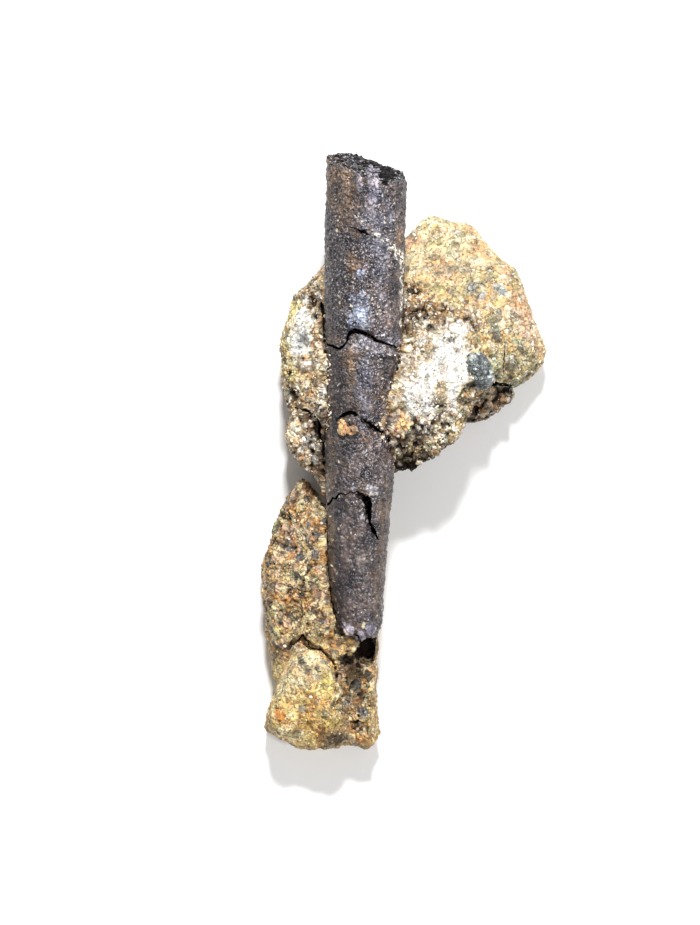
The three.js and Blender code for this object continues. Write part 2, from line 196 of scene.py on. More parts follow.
def with_modifiers(thing):
    """The object's mesh with its modifiers applied."""
    bpy.context.view_layer.update()
    graph = bpy.context.evaluated_depsgraph_get()
    return bpy.data.meshes.new_from_object(thing.evaluated_get(graph))


def modified(thing, kind, **settings):
    """The object's mesh with one modifier applied. The object itself is removed."""
    modifier = thing.modifiers.new("work", kind)
    for name, value in settings.items():
        setattr(modifier, name, value)
    mesh = with_modifiers(thing)
    bpy.data.objects.remove(thing)
    return mesh


# ---------------- nodes

class Nodes:
    """A node tree, with short ways to add its nodes."""

    def __init__(self, tree):
        self.tree = tree

    def feed(self, node, **inputs):
        """Sets or links a node's inputs by name. A space in a name is written as an underscore."""
        for name, value in inputs.items():
            self.plug(node.inputs[name.replace("_", " ")], value)

    def plug(self, socket, value):
        """Links one socket, or sets it."""
        if isinstance(value, bpy.types.NodeSocket):
            self.tree.links.new(value, socket)
        else:
            socket.default_value = value

    def node(self, kind, settings=None, **inputs):
        """A node with its settings and inputs."""
        made = self.tree.nodes.new(kind)
        for name, value in (settings or {}).items():
            setattr(made, name, value)
        self.feed(made, **inputs)
        return made

    def noise(self, vector, wavelength, detail, output="Fac"):
        """Noise of this wavelength: one grey, or three in its Color."""
        made = self.node("ShaderNodeTexNoise", Vector=vector, Scale=1 / wavelength, Detail=detail)
        return made.outputs[output]

    def cells(self, vector, size, output="Color", feature="F1"):
        """Irregular cells of this size: a colour by chance for each, or the distance within it."""
        made = self.node("ShaderNodeTexVoronoi", {"feature": feature}, Vector=vector, Scale=1 / size)
        return made.outputs[output]

    def vector(self, operation, *values, **named):
        """A sum or product of vectors."""
        made = self.node("ShaderNodeVectorMath", {"operation": operation}, **named)
        for socket, value in zip(made.inputs, values):
            self.plug(socket, value)
        return made.outputs["Vector"]


HALF = (0.5, 0.5, 0.5)
# The noises that shape and colour the pieces: the wavelength in millimetres and the detail.
WAVES = {"broad": (4.5, 2), "middle": (1.5, 3), "fine": (0.45, 2)}
# The wavelength of the swirl that warps the cells.
SWIRL = 1.1


def pattern_tree(cell, warp):
    """Geometry nodes that keep the sand pattern at every vertex.

    The warped coordinate is stored too, so that the material finds the same cells as the relief.
    """
    t = Nodes(bpy.data.node_groups.new("patterns", "GeometryNodeTree"))
    for way in ("INPUT", "OUTPUT"):
        t.tree.interface.new_socket("Geometry", in_out=way, socket_type="NodeSocketGeometry")
    place = t.node("GeometryNodeInputPosition").outputs["Position"]
    swirl = t.vector("SUBTRACT", t.noise(place, SWIRL, 2, "Color"), HALF)
    space = t.vector("ADD", place, t.vector("SCALE", swirl, Scale=warp))
    kept = {
        "space": space,
        "cell_colour": t.cells(space, cell),
        "cell_distance": t.cells(space, cell, "Distance"),
        **{name: t.noise(place, *wave, "Color") for name, wave in WAVES.items()},
    }
    geometry = t.node("NodeGroupInput").outputs["Geometry"]
    for name, socket in kept.items():
        settings = {"data_type": "FLOAT" if name == "cell_distance" else "FLOAT_VECTOR", "domain": "POINT"}
        keep = t.node("GeometryNodeStoreNamedAttribute", settings,
                      Name=name, Geometry=geometry, Value=socket)
        geometry = keep.outputs["Geometry"]
    t.node("NodeGroupOutput", Geometry=geometry)
    return t.tree


# ---------------- from CAD solid to fine mesh

def box_of(node):
    """A CAD node's lowest and highest corners in millimetres."""
    low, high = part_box(node)
    return np.array(low) / MM, np.array(high) / MM


def remeshed(node, voxel):
    """A fine even mesh of a CAD node's surface, in millimetres."""
    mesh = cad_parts[node].data.copy()
    mesh.transform(Matrix.Scale(1 / MM, 4))
    fine = modified(linked_object("work", mesh), "REMESH", mode="VOXEL", voxel_size=voxel)
    fine.materials.clear()
    return fine


# Below this upward share of its normal, a vertex faces down.
FACES_DOWN = -0.3


def thinned(mesh, most):
    """The mesh brought towards this many triangles, with the fewest where it faces down."""
    thing = linked_object("work", mesh)
    under = np.flatnonzero(normals_of(mesh)[:, 2] < FACES_DOWN)
    thing.vertex_groups.new(name="under").add(under.tolist(), 1.0, "REPLACE")
    return modified(thing, "DECIMATE", ratio=min(most / (2 * len(mesh.polygons)), 1.0), vertex_group="under")


# A turn is sharp where the normals bend this much against their mean, taken in so many rounds over the mesh.
# The sharpest turns are held this firmly.
BEND_ROUNDS = 14
SHARP_BEND = (0.05, 0.14)
FIRMEST = 0.92


def smooth_mesh(node, voxel, rounds, most, keeps_edges=False):
    """The CAD node remeshed and evened out. With keeps_edges, sharp turns stay as they are."""
    mesh = thinned(remeshed(node, voxel), most)
    edges = edges_of(mesh)
    freedom = 1.0
    if keeps_edges:
        before = normals_of(mesh)
        bend = 1 - np.sum(before * unit(relaxed(before, edges, BEND_ROUNDS)), 1)
        sharp = relaxed(smoothstep(*SHARP_BEND, bend)[:, None], edges, 2)
        freedom = 1 - np.clip(2.2 * sharp, 0, FIRMEST)
    put_points(mesh, relaxed(points_of(mesh), edges, rounds, freedom))
    return mesh


# How a patch ends: its edge's width, how ragged and how fine that is, and its least share on steep sides.
SOFT = (0.35, 0.5, 0.5, 0.0)
CLEAR = (0.22, 0.45, 0.6, 0.0)
CRISP = (0.12, 0.3, 0.5, 0.0)
TORN = (0.3, 0.5, 2.2, 0.0)
HOLE = (0.22, 0.45, 0.6, 1.0)
DEEP = (0.3, 0.5, 2.2, 0.9)
# That least share comes in between these shares of the height.
FOOT = (0.1, 0.32)
# Otherwise a patch stays on top up to the first reach, in millimetres, and covers the sides from the second.
SMALL_PATCH, WIDE_PATCH = 1.5, 4.0
# Topside is 0 and 1 at these upward shares of the normal, evened out over the mesh in so many rounds.
UPWARD = (0.05, 0.45)
UPWARD_ROUNDS = 4


class Surface:
    """A fine mesh in millimetres with the pattern values on it, and where each vertex is in a box."""

    def __init__(self, mesh, low, high, cell, warp):
        self.mesh = modified(linked_object("work", mesh), "NODES", node_group=pattern_tree(cell, warp))
        self.edges = edges_of(self.mesh)
        self.rest = self.points = points_of(self.mesh)
        self.low, self.size = low, high - low
        self.look()
        for name in ("cell_colour", *WAVES):
            setattr(self, name, read(self.mesh, name))
        self.cell_distance = read(self.mesh, "cell_distance")[:, 0]

    def look(self):
        """Takes in how the surface lies now. topside is 1 where it faces up, 0 on steep sides and below."""
        self.built = None
        self.normals = normals_of(self.mesh)
        self.topside = smoothstep(*UPWARD, relaxed(self.normals, self.edges, UPWARD_ROUNDS)[:, 2])
        self.share = (self.points - self.low) / self.size

    def raise_by(self, height):
        """Moves every vertex along its normal."""
        self.points = self.points + self.normals * height[:, None]

    def settle(self):
        """Writes the points back, inside the CAD's box, and looks at them again."""
        self.points = np.clip(self.points, *BOX)
        put_points(self.mesh, self.points)
        self.look()

    def tree(self):
        """For finding the nearest place on the surface. It is built once for each shape of the surface."""
        if self.built is None:
            faces = [tuple(face.vertices) for face in self.mesh.polygons]
            self.built = BVHTree.FromPolygons([Vector(point) for point in self.points], faces)
        return self.built

    def route(self, points):
        """A crack's points in millimetres, from places as shares of the node's box, and widths."""
        corner, size = self.low[:2], self.size[:2]
        return [(*(corner + np.array(place) * size), width) for *place, width in points]

    def faded(self, away, edge):
        """1 inside a patch, whose edge is where away is 1, and 0 outside."""
        soft, ragged, fineness, _ = edge
        wobble = self.middle[:, 0] + self.broad[:, 1] - 1 + fineness * (self.fine[:, 2] - 0.5)
        return smoothstep(1 + soft, 1 - soft, away + 2 * ragged * wobble)

    def spot(self, u, v, reach_u, reach_v, turn=0, edge=SOFT):
        """How much each vertex belongs to a patch seen from above, in shares of the box and degrees."""
        size = self.size[:2]
        reach = np.array([reach_u, reach_v]) * size
        away = (self.share[:, :2] - (u, v)) * size
        cos, sin = math.cos(math.radians(turn)), math.sin(math.radians(turn))
        across = (away[:, 0] * cos + away[:, 1] * sin) / reach[0]
        along = (-away[:, 0] * sin + away[:, 1] * cos) / reach[1]
        wraps = smoothstep(SMALL_PATCH, WIDE_PATCH, reach.max())
        wraps = np.maximum(wraps, edge[3] * smoothstep(*FOOT, self.share[:, 2]))
        return self.faded(np.hypot(across, along), edge) * (wraps + (1 - wraps) * self.topside)

    def painted(self, base, groups):
        """A row for every vertex: the base, with each group's patches laid over it in turn."""
        value = np.tile(base, (len(self.points), 1)) if np.ndim(base) < 2 else base.copy()
        for tone, strength, edge, *places in groups:
            for place in places:
                value += (tone - value) * (strength * self.spot(*place, edge=edge))[:, None]
        return value


# ---------------- materials

class Shader(Nodes):
    """One material. Lengths of its patterns are in millimetres where they follow the stored space."""

    def __init__(self, name):
        self.material = bpy.data.materials.new(name)
        self.material.use_nodes = True
        super().__init__(self.material.node_tree)
        self.tree.nodes.clear()
        self.surface = self.node("ShaderNodeBsdfPrincipled")
        self.node("ShaderNodeOutputMaterial", Surface=self.surface.outputs["BSDF"])

    def finished(self, **inputs):
        """The material, once its surface has these inputs."""
        self.feed(self.surface, **inputs)
        return self.material

    def attribute(self, name, output="Fac"):
        """A value that the mesh keeps."""
        return self.node("ShaderNodeAttribute", {"attribute_name": name}).outputs[output]

    def place(self):
        """Where a point is on the object, in metres."""
        return self.node("ShaderNodeTexCoord").outputs["Object"]

    def channel(self, colour, name):
        """The Red, Green or Blue of a colour."""
        return self.node("ShaderNodeSeparateColor", Color=colour).outputs[name]

    def ramp(self, value, stops, interpolation="LINEAR"):
        """A grey or a colour, by the value. A fourth number in a colour is kept as alpha."""
        made = self.node("ShaderNodeValToRGB", Fac=value)
        made.color_ramp.interpolation = interpolation
        elements = made.color_ramp.elements
        while len(elements) < len(stops):
            elements.new(0.5)
        for element, (position, tone) in zip(elements, stops):
            element.position = position
            element.color = (*(np.full(3, tone) if np.ndim(tone) == 0 else tone), 1.0)[:4]
        return made.outputs["Color"]

    def drawn(self, chance, kinds):
        """A colour by chance, and its share, from kinds that give a start, a colour and a share."""
        tone = self.ramp(chance, [(start, (*tone, share)) for start, tone, share in kinds], "CONSTANT")
        return tone, tone.node.outputs["Alpha"]

    def mix(self, share, a, b, blend="MIX"):
        """The colour a with this share of b blended in."""
        made = self.node("ShaderNodeMix", {"data_type": "RGBA", "blend_type": blend})
        for socket, value in ((0, share), (6, a), (7, b)):
            self.plug(made.inputs[socket], (*value, 1.0) if isinstance(value, np.ndarray) else value)
        return made.outputs[2]

    def math(self, operation, a, b):
        """A sum, a product or the like of two numbers."""
        made = self.node("ShaderNodeMath", {"operation": operation})
        self.plug(made.inputs[0], a)
        self.plug(made.inputs[1], b)
        return made.outputs[0]

    def product(self, *values):
        """All the values multiplied."""
        total, *others = values
        for value in others:
            total = self.math("MULTIPLY", total, value)
        return total

    def covered(self, colour, tone, *shares):
        """The colour with a tone over it, by the product of the shares."""
        return self.mix(self.product(*shares), colour, tone)

    def shaded(self, colour, factor, *shares):
        """The colour times a factor, by the product of the shares."""
        return self.mix(self.product(*shares), colour, factor, "MULTIPLY")

    def jittered(self, vector, wavelength, reach):
        """The vector shifted by a fine noise, for ragged outlines."""
        return self.vector("MULTIPLY_ADD", self.noise(vector, wavelength, 2, "Color"), (reach,) * 3, vector)

    def facets(self, chance, tilt):
        """The surface's normal, tilted by each cell's own chance."""
        normal = self.node("ShaderNodeNewGeometry").outputs["Normal"]
        lean = self.vector("SUBTRACT", chance, HALF)
        return self.vector("NORMALIZE", self.vector("MULTIPLY_ADD", lean, (tilt,) * 3, normal))

    def bump(self, height, distance, strength, **normal):
        """The normal bent by a height. distance is in metres."""
        made = self.node("ShaderNodeBump", Height=height, Distance=distance, Strength=strength, **normal)
        return made.outputs["Normal"]


# The cells of the sand grains: their size and how far they are warped, in millimetres, and the smaller ones.
GRAIN = 0.52
GRAIN_WARP = 0.5
SMALL_GRAIN = 0.58 * GRAIN


def sand_colour(s, space, ragged, kinds, pebbles, blotch):
    """The painted tint with mottled cement, stains, and grains and pebbles of several kinds."""
    vivid, mottled = s.attribute("vivid"), s.attribute("mottled")
    cement = s.ramp(s.noise(space, 1.3, 4), [
        (0.36, srgb(190, 180, 160)), (0.46, srgb(240, 233, 220)), (0.56, srgb(255, 247, 232)),
        (0.66, srgb(255, 255, 252))])
    stains = s.ramp(s.noise(s.jittered(space, 6.0, 7.0), 1.5, 4), [
        (0.38, srgb(224, 230, 216)), (0.47, srgb(252, 250, 242)), (0.53, srgb(255, 247, 234)),
        (0.62, srgb(255, 226, 192))])
    colour = s.shaded(s.shaded(s.attribute("tint", "Color"), cement, mottled), stains, mottled)
    patch = s.ramp(s.noise(s.jittered(space, 5.0, 9.0), 0.8, 4), [(0.54, 0.0), (0.66, 0.4)])
    colour = s.covered(colour, blotch, patch, vivid)
    chance, small = s.cells(ragged, GRAIN), s.cells(ragged, SMALL_GRAIN)
    for draw, channel, strength in ((chance, "Red", 1.0), (small, "Green", 0.6)):
        tone, share = s.drawn(s.channel(draw, channel), kinds)
        colour = s.covered(colour, tone, share, vivid, strength)
    step = s.ramp(s.channel(chance, "Green"), [(0, 0.68), (0.5, 1.0), (1, 1.3)])
    colour = s.shaded(colour, step, vivid)
    tone, share = s.drawn(s.channel(s.cells(s.jittered(space, 0.4, 0.4), 0.8), "Red"), pebbles)
    colour = s.covered(colour, tone, share, s.attribute("pebbly"))
    grit = s.ramp(s.noise(space, 0.26, 4), [(0.34, 0.3), (0.45, 0.86), (0.56, 1.1), (0.7, 1.6)])
    return s.shaded(colour, grit, vivid, 0.9)


def sand_darks(s, space, colour, edge):
    """The colour with painted shade along the seams between grains, in pits and in gaps, and how much of it
    is painted shade or black.
    """
    broken = s.ramp(s.noise(space, 0.8, 3), [(0.44, 0.0), (0.56, 1.0)])
    # Painted shade along the crevices between grains.
    seam = s.ramp(edge, [(0.0, 1.0), (0.16, 0.0)])
    colour = s.covered(colour, srgb(66, 50, 36), seam, broken, s.attribute("vivid"), 0.85)
    # Painted shade in pits.
    pits = s.ramp(s.noise(space, 0.42, 3), [(0.33, 1.0), (0.39, 0.0)])
    colour = s.covered(colour, srgb(44, 36, 30), pits, s.attribute("pitted"))
    # Painted shade in the gaps between lumps, joined with the painted shade of hollows and creases.
    gaps = s.ramp(s.noise(s.jittered(space, 0.3, 0.4), 0.85, 4), [(0.39, 1.0), (0.45, 0.0)])
    dark = s.math("MAXIMUM", s.attribute("cavity"), s.product(gaps, s.attribute("gappy")))
    return s.covered(colour, srgb(30, 22, 17), dark), dark


def sandstone_material(name, kinds, pebbles, blotch):
    """Sandstone, whose grains lie in the same cells as the relief."""
    s = Shader(name)
    space = s.attribute("space", "Vector")
    ragged = s.jittered(space, 0.26, 0.24)
    edge = s.cells(ragged, GRAIN, "Distance", "DISTANCE_TO_EDGE")
    colour, dark = sand_darks(s, space, sand_colour(s, space, ragged, kinds, pebbles, blotch), edge)
    small = s.cells(ragged, SMALL_GRAIN)
    seams = s.bump(s.ramp(edge, [(0.0, 0.0), (0.2, 1.0)]), 0.0001, 0.7, Normal=s.facets(small, 1.0))
    dents = s.bump(s.cells(ragged, SMALL_GRAIN, "Distance"), 0.0002, 0.5, Normal=seams)
    return s.finished(
        Base_Color=colour,
        Roughness=s.ramp(s.channel(small, "Red"), [(0, 0.16), (0.14, 0.42), (0.34, 0.8), (1, 0.95)]),
        # The gloss drops where shade is painted.
        Specular_IOR_Level=s.ramp(dark, [(0, 0.45), (0.8, 0.04)]),
        Normal=s.bump(s.noise(space, 0.26, 4), 0.00025, 0.7, Normal=dents))


def grain_material():
    """Loose grains: each has its own colour and roughness, with fine mottling on it."""
    s = Shader("loose_grains")
    mottle = s.ramp(s.noise(s.place(), 0.00022, 3), [(0.3, 0.7), (0.65, 1.2)])
    return s.finished(
        Base_Color=s.shaded(s.attribute("tint", "Color"), mottle, 0.8),
        Roughness=s.attribute("roughness"),
        Normal=s.bump(s.noise(s.place(), 0.00012, 2), 0.00005, 0.5))


def enamel_colour(s, space, stretched, flecked):
    """The painted tint with mottling, streaks, grit, rust, silvery specks painted as glints, a flaky crust
    and pale flecks.
    """
    rough = s.attribute("rough")
    mottle = s.ramp(s.noise(space, 1.8, 5), [
        (0.34, srgb(140, 140, 150)), (0.46, srgb(226, 220, 222)), (0.55, (1.05, 0.98, 0.92)),
        (0.66, (1.7, 1.55, 1.4))])
    streaks = s.ramp(s.noise(stretched, 0.45, 4), [(0.36, 0.5), (0.5, 1.0), (0.64, 1.6)])
    grit = s.ramp(s.noise(space, 0.28, 4), [(0.35, 0.2), (0.46, 0.75), (0.56, 1.2), (0.7, 2.8)])
    colour = s.attribute("tint", "Color")
    for factor, share in ((mottle, 1.0), (streaks, 0.8), (grit, rough)):
        colour = s.shaded(colour, factor, share)
    rusty = s.ramp(s.noise(space, 1.5, 5), [(0.55, 0.0), (0.7, 0.45)])
    colour = s.covered(colour, srgb(104, 80, 56), rusty)
    # Painted glints: pale silvery specks where the stored glint share is high.
    glint = s.ramp(s.noise(space, 0.18, 2), [(0.58, 0.0), (0.66, 1.0)])
    colour = s.covered(colour, srgb(206, 206, 220), glint, s.attribute("silver"))
    flaky = s.ramp(s.noise(space, 0.3, 3), [(0.45, 0.0), (0.54, 1.0)])
    colour = s.covered(colour, srgb(236, 228, 212), s.attribute("crust"), flaky)
    clustered = s.ramp(s.noise(space, 1.2, 3), [(0.48, 0.0), (0.58, 1.0)])
    flecks, share = s.drawn(s.channel(flecked, "Red"), [
        (0.0, srgb(226, 214, 190), 0.7), (0.03, srgb(170, 126, 84), 0.5), (0.045, srgb(120, 110, 110), 0.0)])
    return s.covered(colour, flecks, share, clustered)


def enamel_material():
    """Fossil enamel: dark grey-brown, finely pitted, with a satin gloss and silvery specks painted as glints.
    """
    s = Shader("fossil_enamel")
    space = s.attribute("space", "Vector")
    stretched = s.vector("MULTIPLY", space, (1, 0.2, 1))
    flecked = s.cells(s.jittered(space, 0.2, 0.2), 0.24)
    # Painted shade in the pits of the broken root, with black tint: it darkens the colour and dulls the
    # gloss.
    rough, dark = s.attribute("rough"), s.attribute("cavity")
    dents = s.cells(space, 0.42, "Distance", "SMOOTH_F1")
    pits = s.bump(dents, 0.0003, s.product(rough, 0.6), Normal=s.facets(flecked, 0.35))
    ridges = s.bump(s.noise(stretched, 0.3, 3), 0.0002, 0.5, Normal=pits)
    return s.finished(
        Base_Color=s.covered(enamel_colour(s, space, stretched, flecked), srgb(18, 14, 13), dark),
        Roughness=s.ramp(s.noise(space, 0.5, 4), [(0.4, 0.2), (0.6, 0.46)]),
        Specular_IOR_Level=s.ramp(dark, [(0, 0.55), (0.8, 0.06)]),
        Normal=s.bump(s.noise(space, 0.24, 2), 0.0003, rough, Normal=ridges))


def pebble_material():
    """A dark crystalline pebble with pale broken facets, the palest of them painted glints."""
    s = Shader("dark_pebble")
    space = s.attribute("space", "Vector")
    tones = [(0.0, srgb(66, 70, 72)), (0.25, srgb(96, 102, 102)), (0.6, srgb(124, 130, 128)),
             (0.88, srgb(176, 182, 180))]
    tone = s.ramp(s.channel(s.cells(s.jittered(space, 0.3, 0.3), 0.34), "Red"), tones, "CONSTANT")
    grit = s.ramp(s.noise(space, 0.2, 4), [(0.35, 0.35), (0.5, 0.95), (0.66, 1.9)])
    facets = s.bump(s.channel(s.cells(space, 0.34), "Green"), 0.00012, 0.6)
    return s.finished(
        Base_Color=s.shaded(tone, grit, 0.9),
        Roughness=s.ramp(s.noise(space, 0.3, 2), [(0.42, 0.16), (0.6, 0.5)]),
        Specular_IOR_Level=0.6,
        Normal=s.bump(s.noise(space, 0.16, 3), 0.00025, 0.8, Normal=facets))


def crack_material():
    """The inside of a crack in painted shade: nearly black, with a little brown dust."""
    s = Shader("crack_wall")
    return s.finished(
        Base_Color=s.ramp(s.noise(s.place(), 0.0002, 3), [(0.4, srgb(14, 11, 10)), (0.7, srgb(44, 34, 28))]),
        Roughness=0.95,
        Specular_IOR_Level=0.1,
        Normal=s.bump(s.noise(s.place(), 0.0003, 3), 0.0001, 0.8))


CRACK_WALL = crack_material()


def floor_material():
    """A plain pale floor."""
    s = Shader("pale_floor")
    return s.finished(
        Base_Color=s.ramp(s.noise(s.place(), 0.4, 2), [(0.3, 0.93), (0.7, 0.95)]),
        Roughness=0.9,
        Specular_IOR_Level=0.1)


# ---------------- pieces

def mesh_from(name, points, faces):
    """A mesh from rows of millimetre points and rows of triangles."""
    mesh = bpy.data.meshes.new(name)
    mesh.vertices.add(len(points))
    mesh.vertices.foreach_set("co", points.astype(np.float32).ravel())
    mesh.loops.add(faces.size)
    mesh.loops.foreach_set("vertex_index", faces.astype(np.int32).ravel())
    mesh.polygons.add(len(faces))
    mesh.polygons.foreach_set("loop_start", np.arange(0, faces.size, 3, dtype=np.int32))
    mesh.update(calc_edges=True)
    return mesh


def finish_piece(mesh, name, material, node, smooth=True):
    """Turns a millimetre mesh into a piece in metres that rides on the body and takes the given material."""
    mesh.transform(Matrix.Scale(MM, 4))
    mesh.polygons.foreach_set("use_smooth", np.full(len(mesh.polygons), smooth))
    mesh.materials.append(material)
    thing = linked_object(name, mesh)
    if node:
        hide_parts(node)
    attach(thing, "root")
    return thing


# ---------------- loose grains

def icosahedron():
    """The corners and the outward triangles of an icosahedron of radius 1."""
    long = (1 + math.sqrt(5)) / 2
    corners = []
    for a in (-1, 1):
        for b in (-long, long):
            corners += [(0, a, b), (a, b, 0), (b, 0, a)]
    corners = unit(np.array(corners, float))
    side = min(np.linalg.norm(corners[0] - c) for c in corners[1:])
    near = np.linalg.norm(corners[:, None] - corners[None], axis=2) < side * 1.1
    faces = []
    for i, j, k in combinations(range(len(corners)), 3):
        if near[i, j] and near[j, k] and near[i, k]:
            turn = np.dot(np.cross(corners[j] - corners[i], corners[k] - corners[i]), corners[i])
            faces.append((i, j, k) if turn > 0 else (i, k, j))
    return corners, np.array(faces)


CORNERS, FACES = icosahedron()


def turns(rng, count):
    """Random rotation matrices."""
    w, x, y, z = unit(rng.normal(size=(count, 4))).T
    rows = [[1 - 2 * (y * y + z * z), 2 * (x * y - z * w), 2 * (x * z + y * w)],
            [2 * (x * y + z * w), 1 - 2 * (x * x + z * z), 2 * (y * z - x * w)],
            [2 * (x * z - y * w), 2 * (y * z + x * w), 1 - 2 * (x * x + y * y)]]
    return np.ascontiguousarray(np.transpose(rows, (2, 0, 1)))


# How far a grain's corners, and its whole three ways, vary from its radius.
CORNER_REACH = (0.62, 1.12)
STRETCH = (0.65, 1.2)


def grain_shapes(rng, centres, radii):
    """Angular grains: icosahedra pulled out of round. Returns all corners and all triangles."""
    count = len(centres)
    bumps = rng.uniform(*CORNER_REACH, (count, len(CORNERS), 1))
    stretch = rng.uniform(*STRETCH, (count, 1, 3))
    shapes = CORNERS[None] * bumps * stretch * radii[:, None, None]
    shapes = np.einsum("nij,nkj->nki", turns(rng, count), shapes)
    corners = (shapes + centres[:, None]).reshape(-1, 3)
    faces = (FACES[None] + len(CORNERS) * np.arange(count)[:, None, None]).reshape(-1, 3)
    return corners, faces


# The higher this is, the more of the grains are small.
SMALLNESS = 1.8
# How deep a grain's middle lies, as a share of its radius, where it isn't proud.
BEDDED = 0.75
PLAIN_ROUGHNESS = 0.7
# How much the grains differ in lightness.
SHADES = (0.75, 1.25)


def scatter(surface, tint, keep, count, low, high, kinds, seed, proud=0.35):
    """Loose grains over a surface: their corners, triangles, colours and roughnesses.

    keep is each vertex's chance, low and high are the radii, and proud is how far a grain stands out.
    """
    rng = np.random.default_rng(seed)
    chosen = rng.choice(len(surface.points), count, replace=False, p=keep / keep.sum())
    radii = low * (high / low) ** (rng.random(count) ** SMALLNESS)
    centres = surface.points[chosen] + surface.normals[chosen] * (radii * (proud - BEDDED))[:, None]
    centres[:, 2] = np.maximum(centres[:, 2], surface.low[2] + radii)
    corners, faces = grain_shapes(rng, centres, radii)
    chance = rng.random(count)
    colour, roughness = tint[chosen].copy(), np.full(count, PLAIN_ROUGHNESS)
    edge = 0.0
    for share, tone, blend, rough in kinds:
        hit = (chance >= edge) & (chance < edge + share)
        colour[hit] += (tone - colour[hit]) * blend
        roughness[hit] = rough
        edge += share
    colour = np.clip(colour * rng.uniform(*SHADES, (count, 1)), 0, 1)
    each = len(CORNERS)
    return np.clip(corners, *BOX), faces, np.repeat(colour, each, 0), np.repeat(roughness, each)


def grains_piece(name, lots, material):
    """Joins lots of grains into one piece."""
    corners, faces, tints, roughnesses = zip(*lots)
    starts = np.cumsum([0] + [len(lot) for lot in corners])
    faces = [triangles + start for triangles, start in zip(faces, starts)]
    mesh = mesh_from(name, np.concatenate(corners), np.concatenate(faces))
    store(mesh, tint=np.concatenate(tints), roughness=np.concatenate(roughnesses))
    finish_piece(mesh, name, material, None, smooth=False)


# ---------------- cracks

# A crack's line goes on in steps of this length, and is cut this deep, in millimetres.
CRACK_STEP = 0.16
LEAST_STEPS = 4
CRACK_DEPTH = 1.2
CRACK_SEED = 5
# Edges that turn more than this many degrees look sharp once the cracks are cut.
SHARP_EDGE = 55
# How much a crack's middle line and its width vary, and its least width.
SWAY = 0.03
UNEVENNESS = 0.06
LEAST_WIDTH = 0.05
# The wedge that cuts a crack: how far it stands above the surface, and its width at the floor as a share.
WEDGE_ABOVE = 2.5
WEDGE_FLOOR = 0.45
# A height above everything, in millimetres.
ABOVE_ALL = 60


def crack_line(route, rng):
    """A jagged line along a route: its points, the directions aside from it, and its half widths."""
    route = np.array(route, float)
    reach = np.concatenate([[0], np.cumsum(np.hypot(*np.diff(route[:, :2], axis=0).T))])
    steps = max(int(reach[-1] / CRACK_STEP), LEAST_STEPS)
    at = np.linspace(0, reach[-1], steps + 1)
    x, y, width = (np.interp(at, reach, column) for column in route.T)
    ahead, behind = np.minimum(np.arange(steps + 1) + 1, steps), np.maximum(np.arange(steps + 1) - 1, 0)
    along = unit(np.stack([x[ahead] - x[behind], y[ahead] - y[behind]], 1))
    aside = np.stack([-along[:, 1], along[:, 0]], 1)
    shift = rng.normal(0, SWAY, steps + 1)
    width = np.maximum(width + rng.uniform(-UNEVENNESS, UNEVENNESS, steps + 1), LEAST_WIDTH) / 2
    return np.stack([x, y], 1) + aside * shift[:, None], aside, width


def crack_floor(middle, tree):
    """The height of the crack's floor under each point of its line."""
    floor = []
    for x, y in middle:
        hit = tree.ray_cast(Vector((x, y, ABOVE_ALL)), Vector((0, 0, -1)))[0]
        floor.append(hit.z - CRACK_DEPTH if hit else (floor[-1] if floor else -CRACK_DEPTH))
    return np.array(floor)


def crack_wedge(route, tree, rng):
    """A jagged wedge along a route of x, y and width: open above the surface, narrow below it."""
    middle, aside, width = crack_line(route, rng)
    floor = crack_floor(middle, tree)
    top = floor + CRACK_DEPTH + WEDGE_ABOVE
    rows = []
    corners = ((1, 1.0, top), (-1, 1.0, top), (-1, WEDGE_FLOOR, floor), (1, WEDGE_FLOOR, floor))
    for side, share, height in corners:
        rows.append(np.column_stack([middle + aside * (side * share * width)[:, None], height]))
    count = len(middle)
    faces = []
    for k in range(4):
        a, b = k * count, (k + 1) % 4 * count
        for i in range(count - 1):
            faces += [(a + i, b + i, b + i + 1), (a + i, b + i + 1, a + i + 1)]
    one, two, three, four = np.arange(4) * count
    faces += [(one, three, two), (one, four, three)]
    one, two, three, four = np.arange(1, 5) * count - 1
    faces += [(one, two, three), (one, three, four)]
    return np.concatenate(rows), np.array(faces)


def restore_values(mesh, old):
    """Gives the new vertices along the cuts the stored values of the nearest old vertex."""
    lost = np.flatnonzero(~read(mesh, "space").any(axis=1))
    tree = KDTree(len(old.vertices))
    for index, place in enumerate(points_of(old)):
        tree.insert(place, index)
    tree.balance()
    nearest = np.array([tree.find(place)[1] for place in points_of(mesh)[lost]], int)
    for name, layer in old.attributes.items():
        if layer.domain != "POINT" or layer.data_type not in VALUE_FIELDS or name == "position":
            continue
        values = read(mesh, name)
        values[lost] = read(old, name)[nearest]
        field, _ = VALUE_FIELDS[layer.data_type]
        mesh.attributes[name].data.foreach_set(field, values.astype(np.float32).ravel())


def cut_out(piece, routes, surface):
    """Cuts the cracks out of a finished piece. Their walls take the dark crack material, painted shade."""
    rng = np.random.default_rng(CRACK_SEED)
    old = piece.data
    for route in routes:
        mesh = mesh_from("crack", *crack_wedge(route, surface.tree(), rng))
        mesh.transform(Matrix.Scale(MM, 4))
        mesh.materials.append(CRACK_WALL)
        wedge = linked_object("work", mesh)
        cut = piece.modifiers.new("crack", "BOOLEAN")
        cut.object = wedge
        cut.operation = "DIFFERENCE"
        cut.solver = "MANIFOLD"
        fresh = with_modifiers(piece)
        piece.modifiers.remove(cut)
        piece.data = fresh
        bpy.data.objects.remove(wedge)
    restore_values(piece.data, old)
    piece.data.set_sharp_from_angle(angle=math.radians(SHARP_EDGE))


# ---------------- the rock

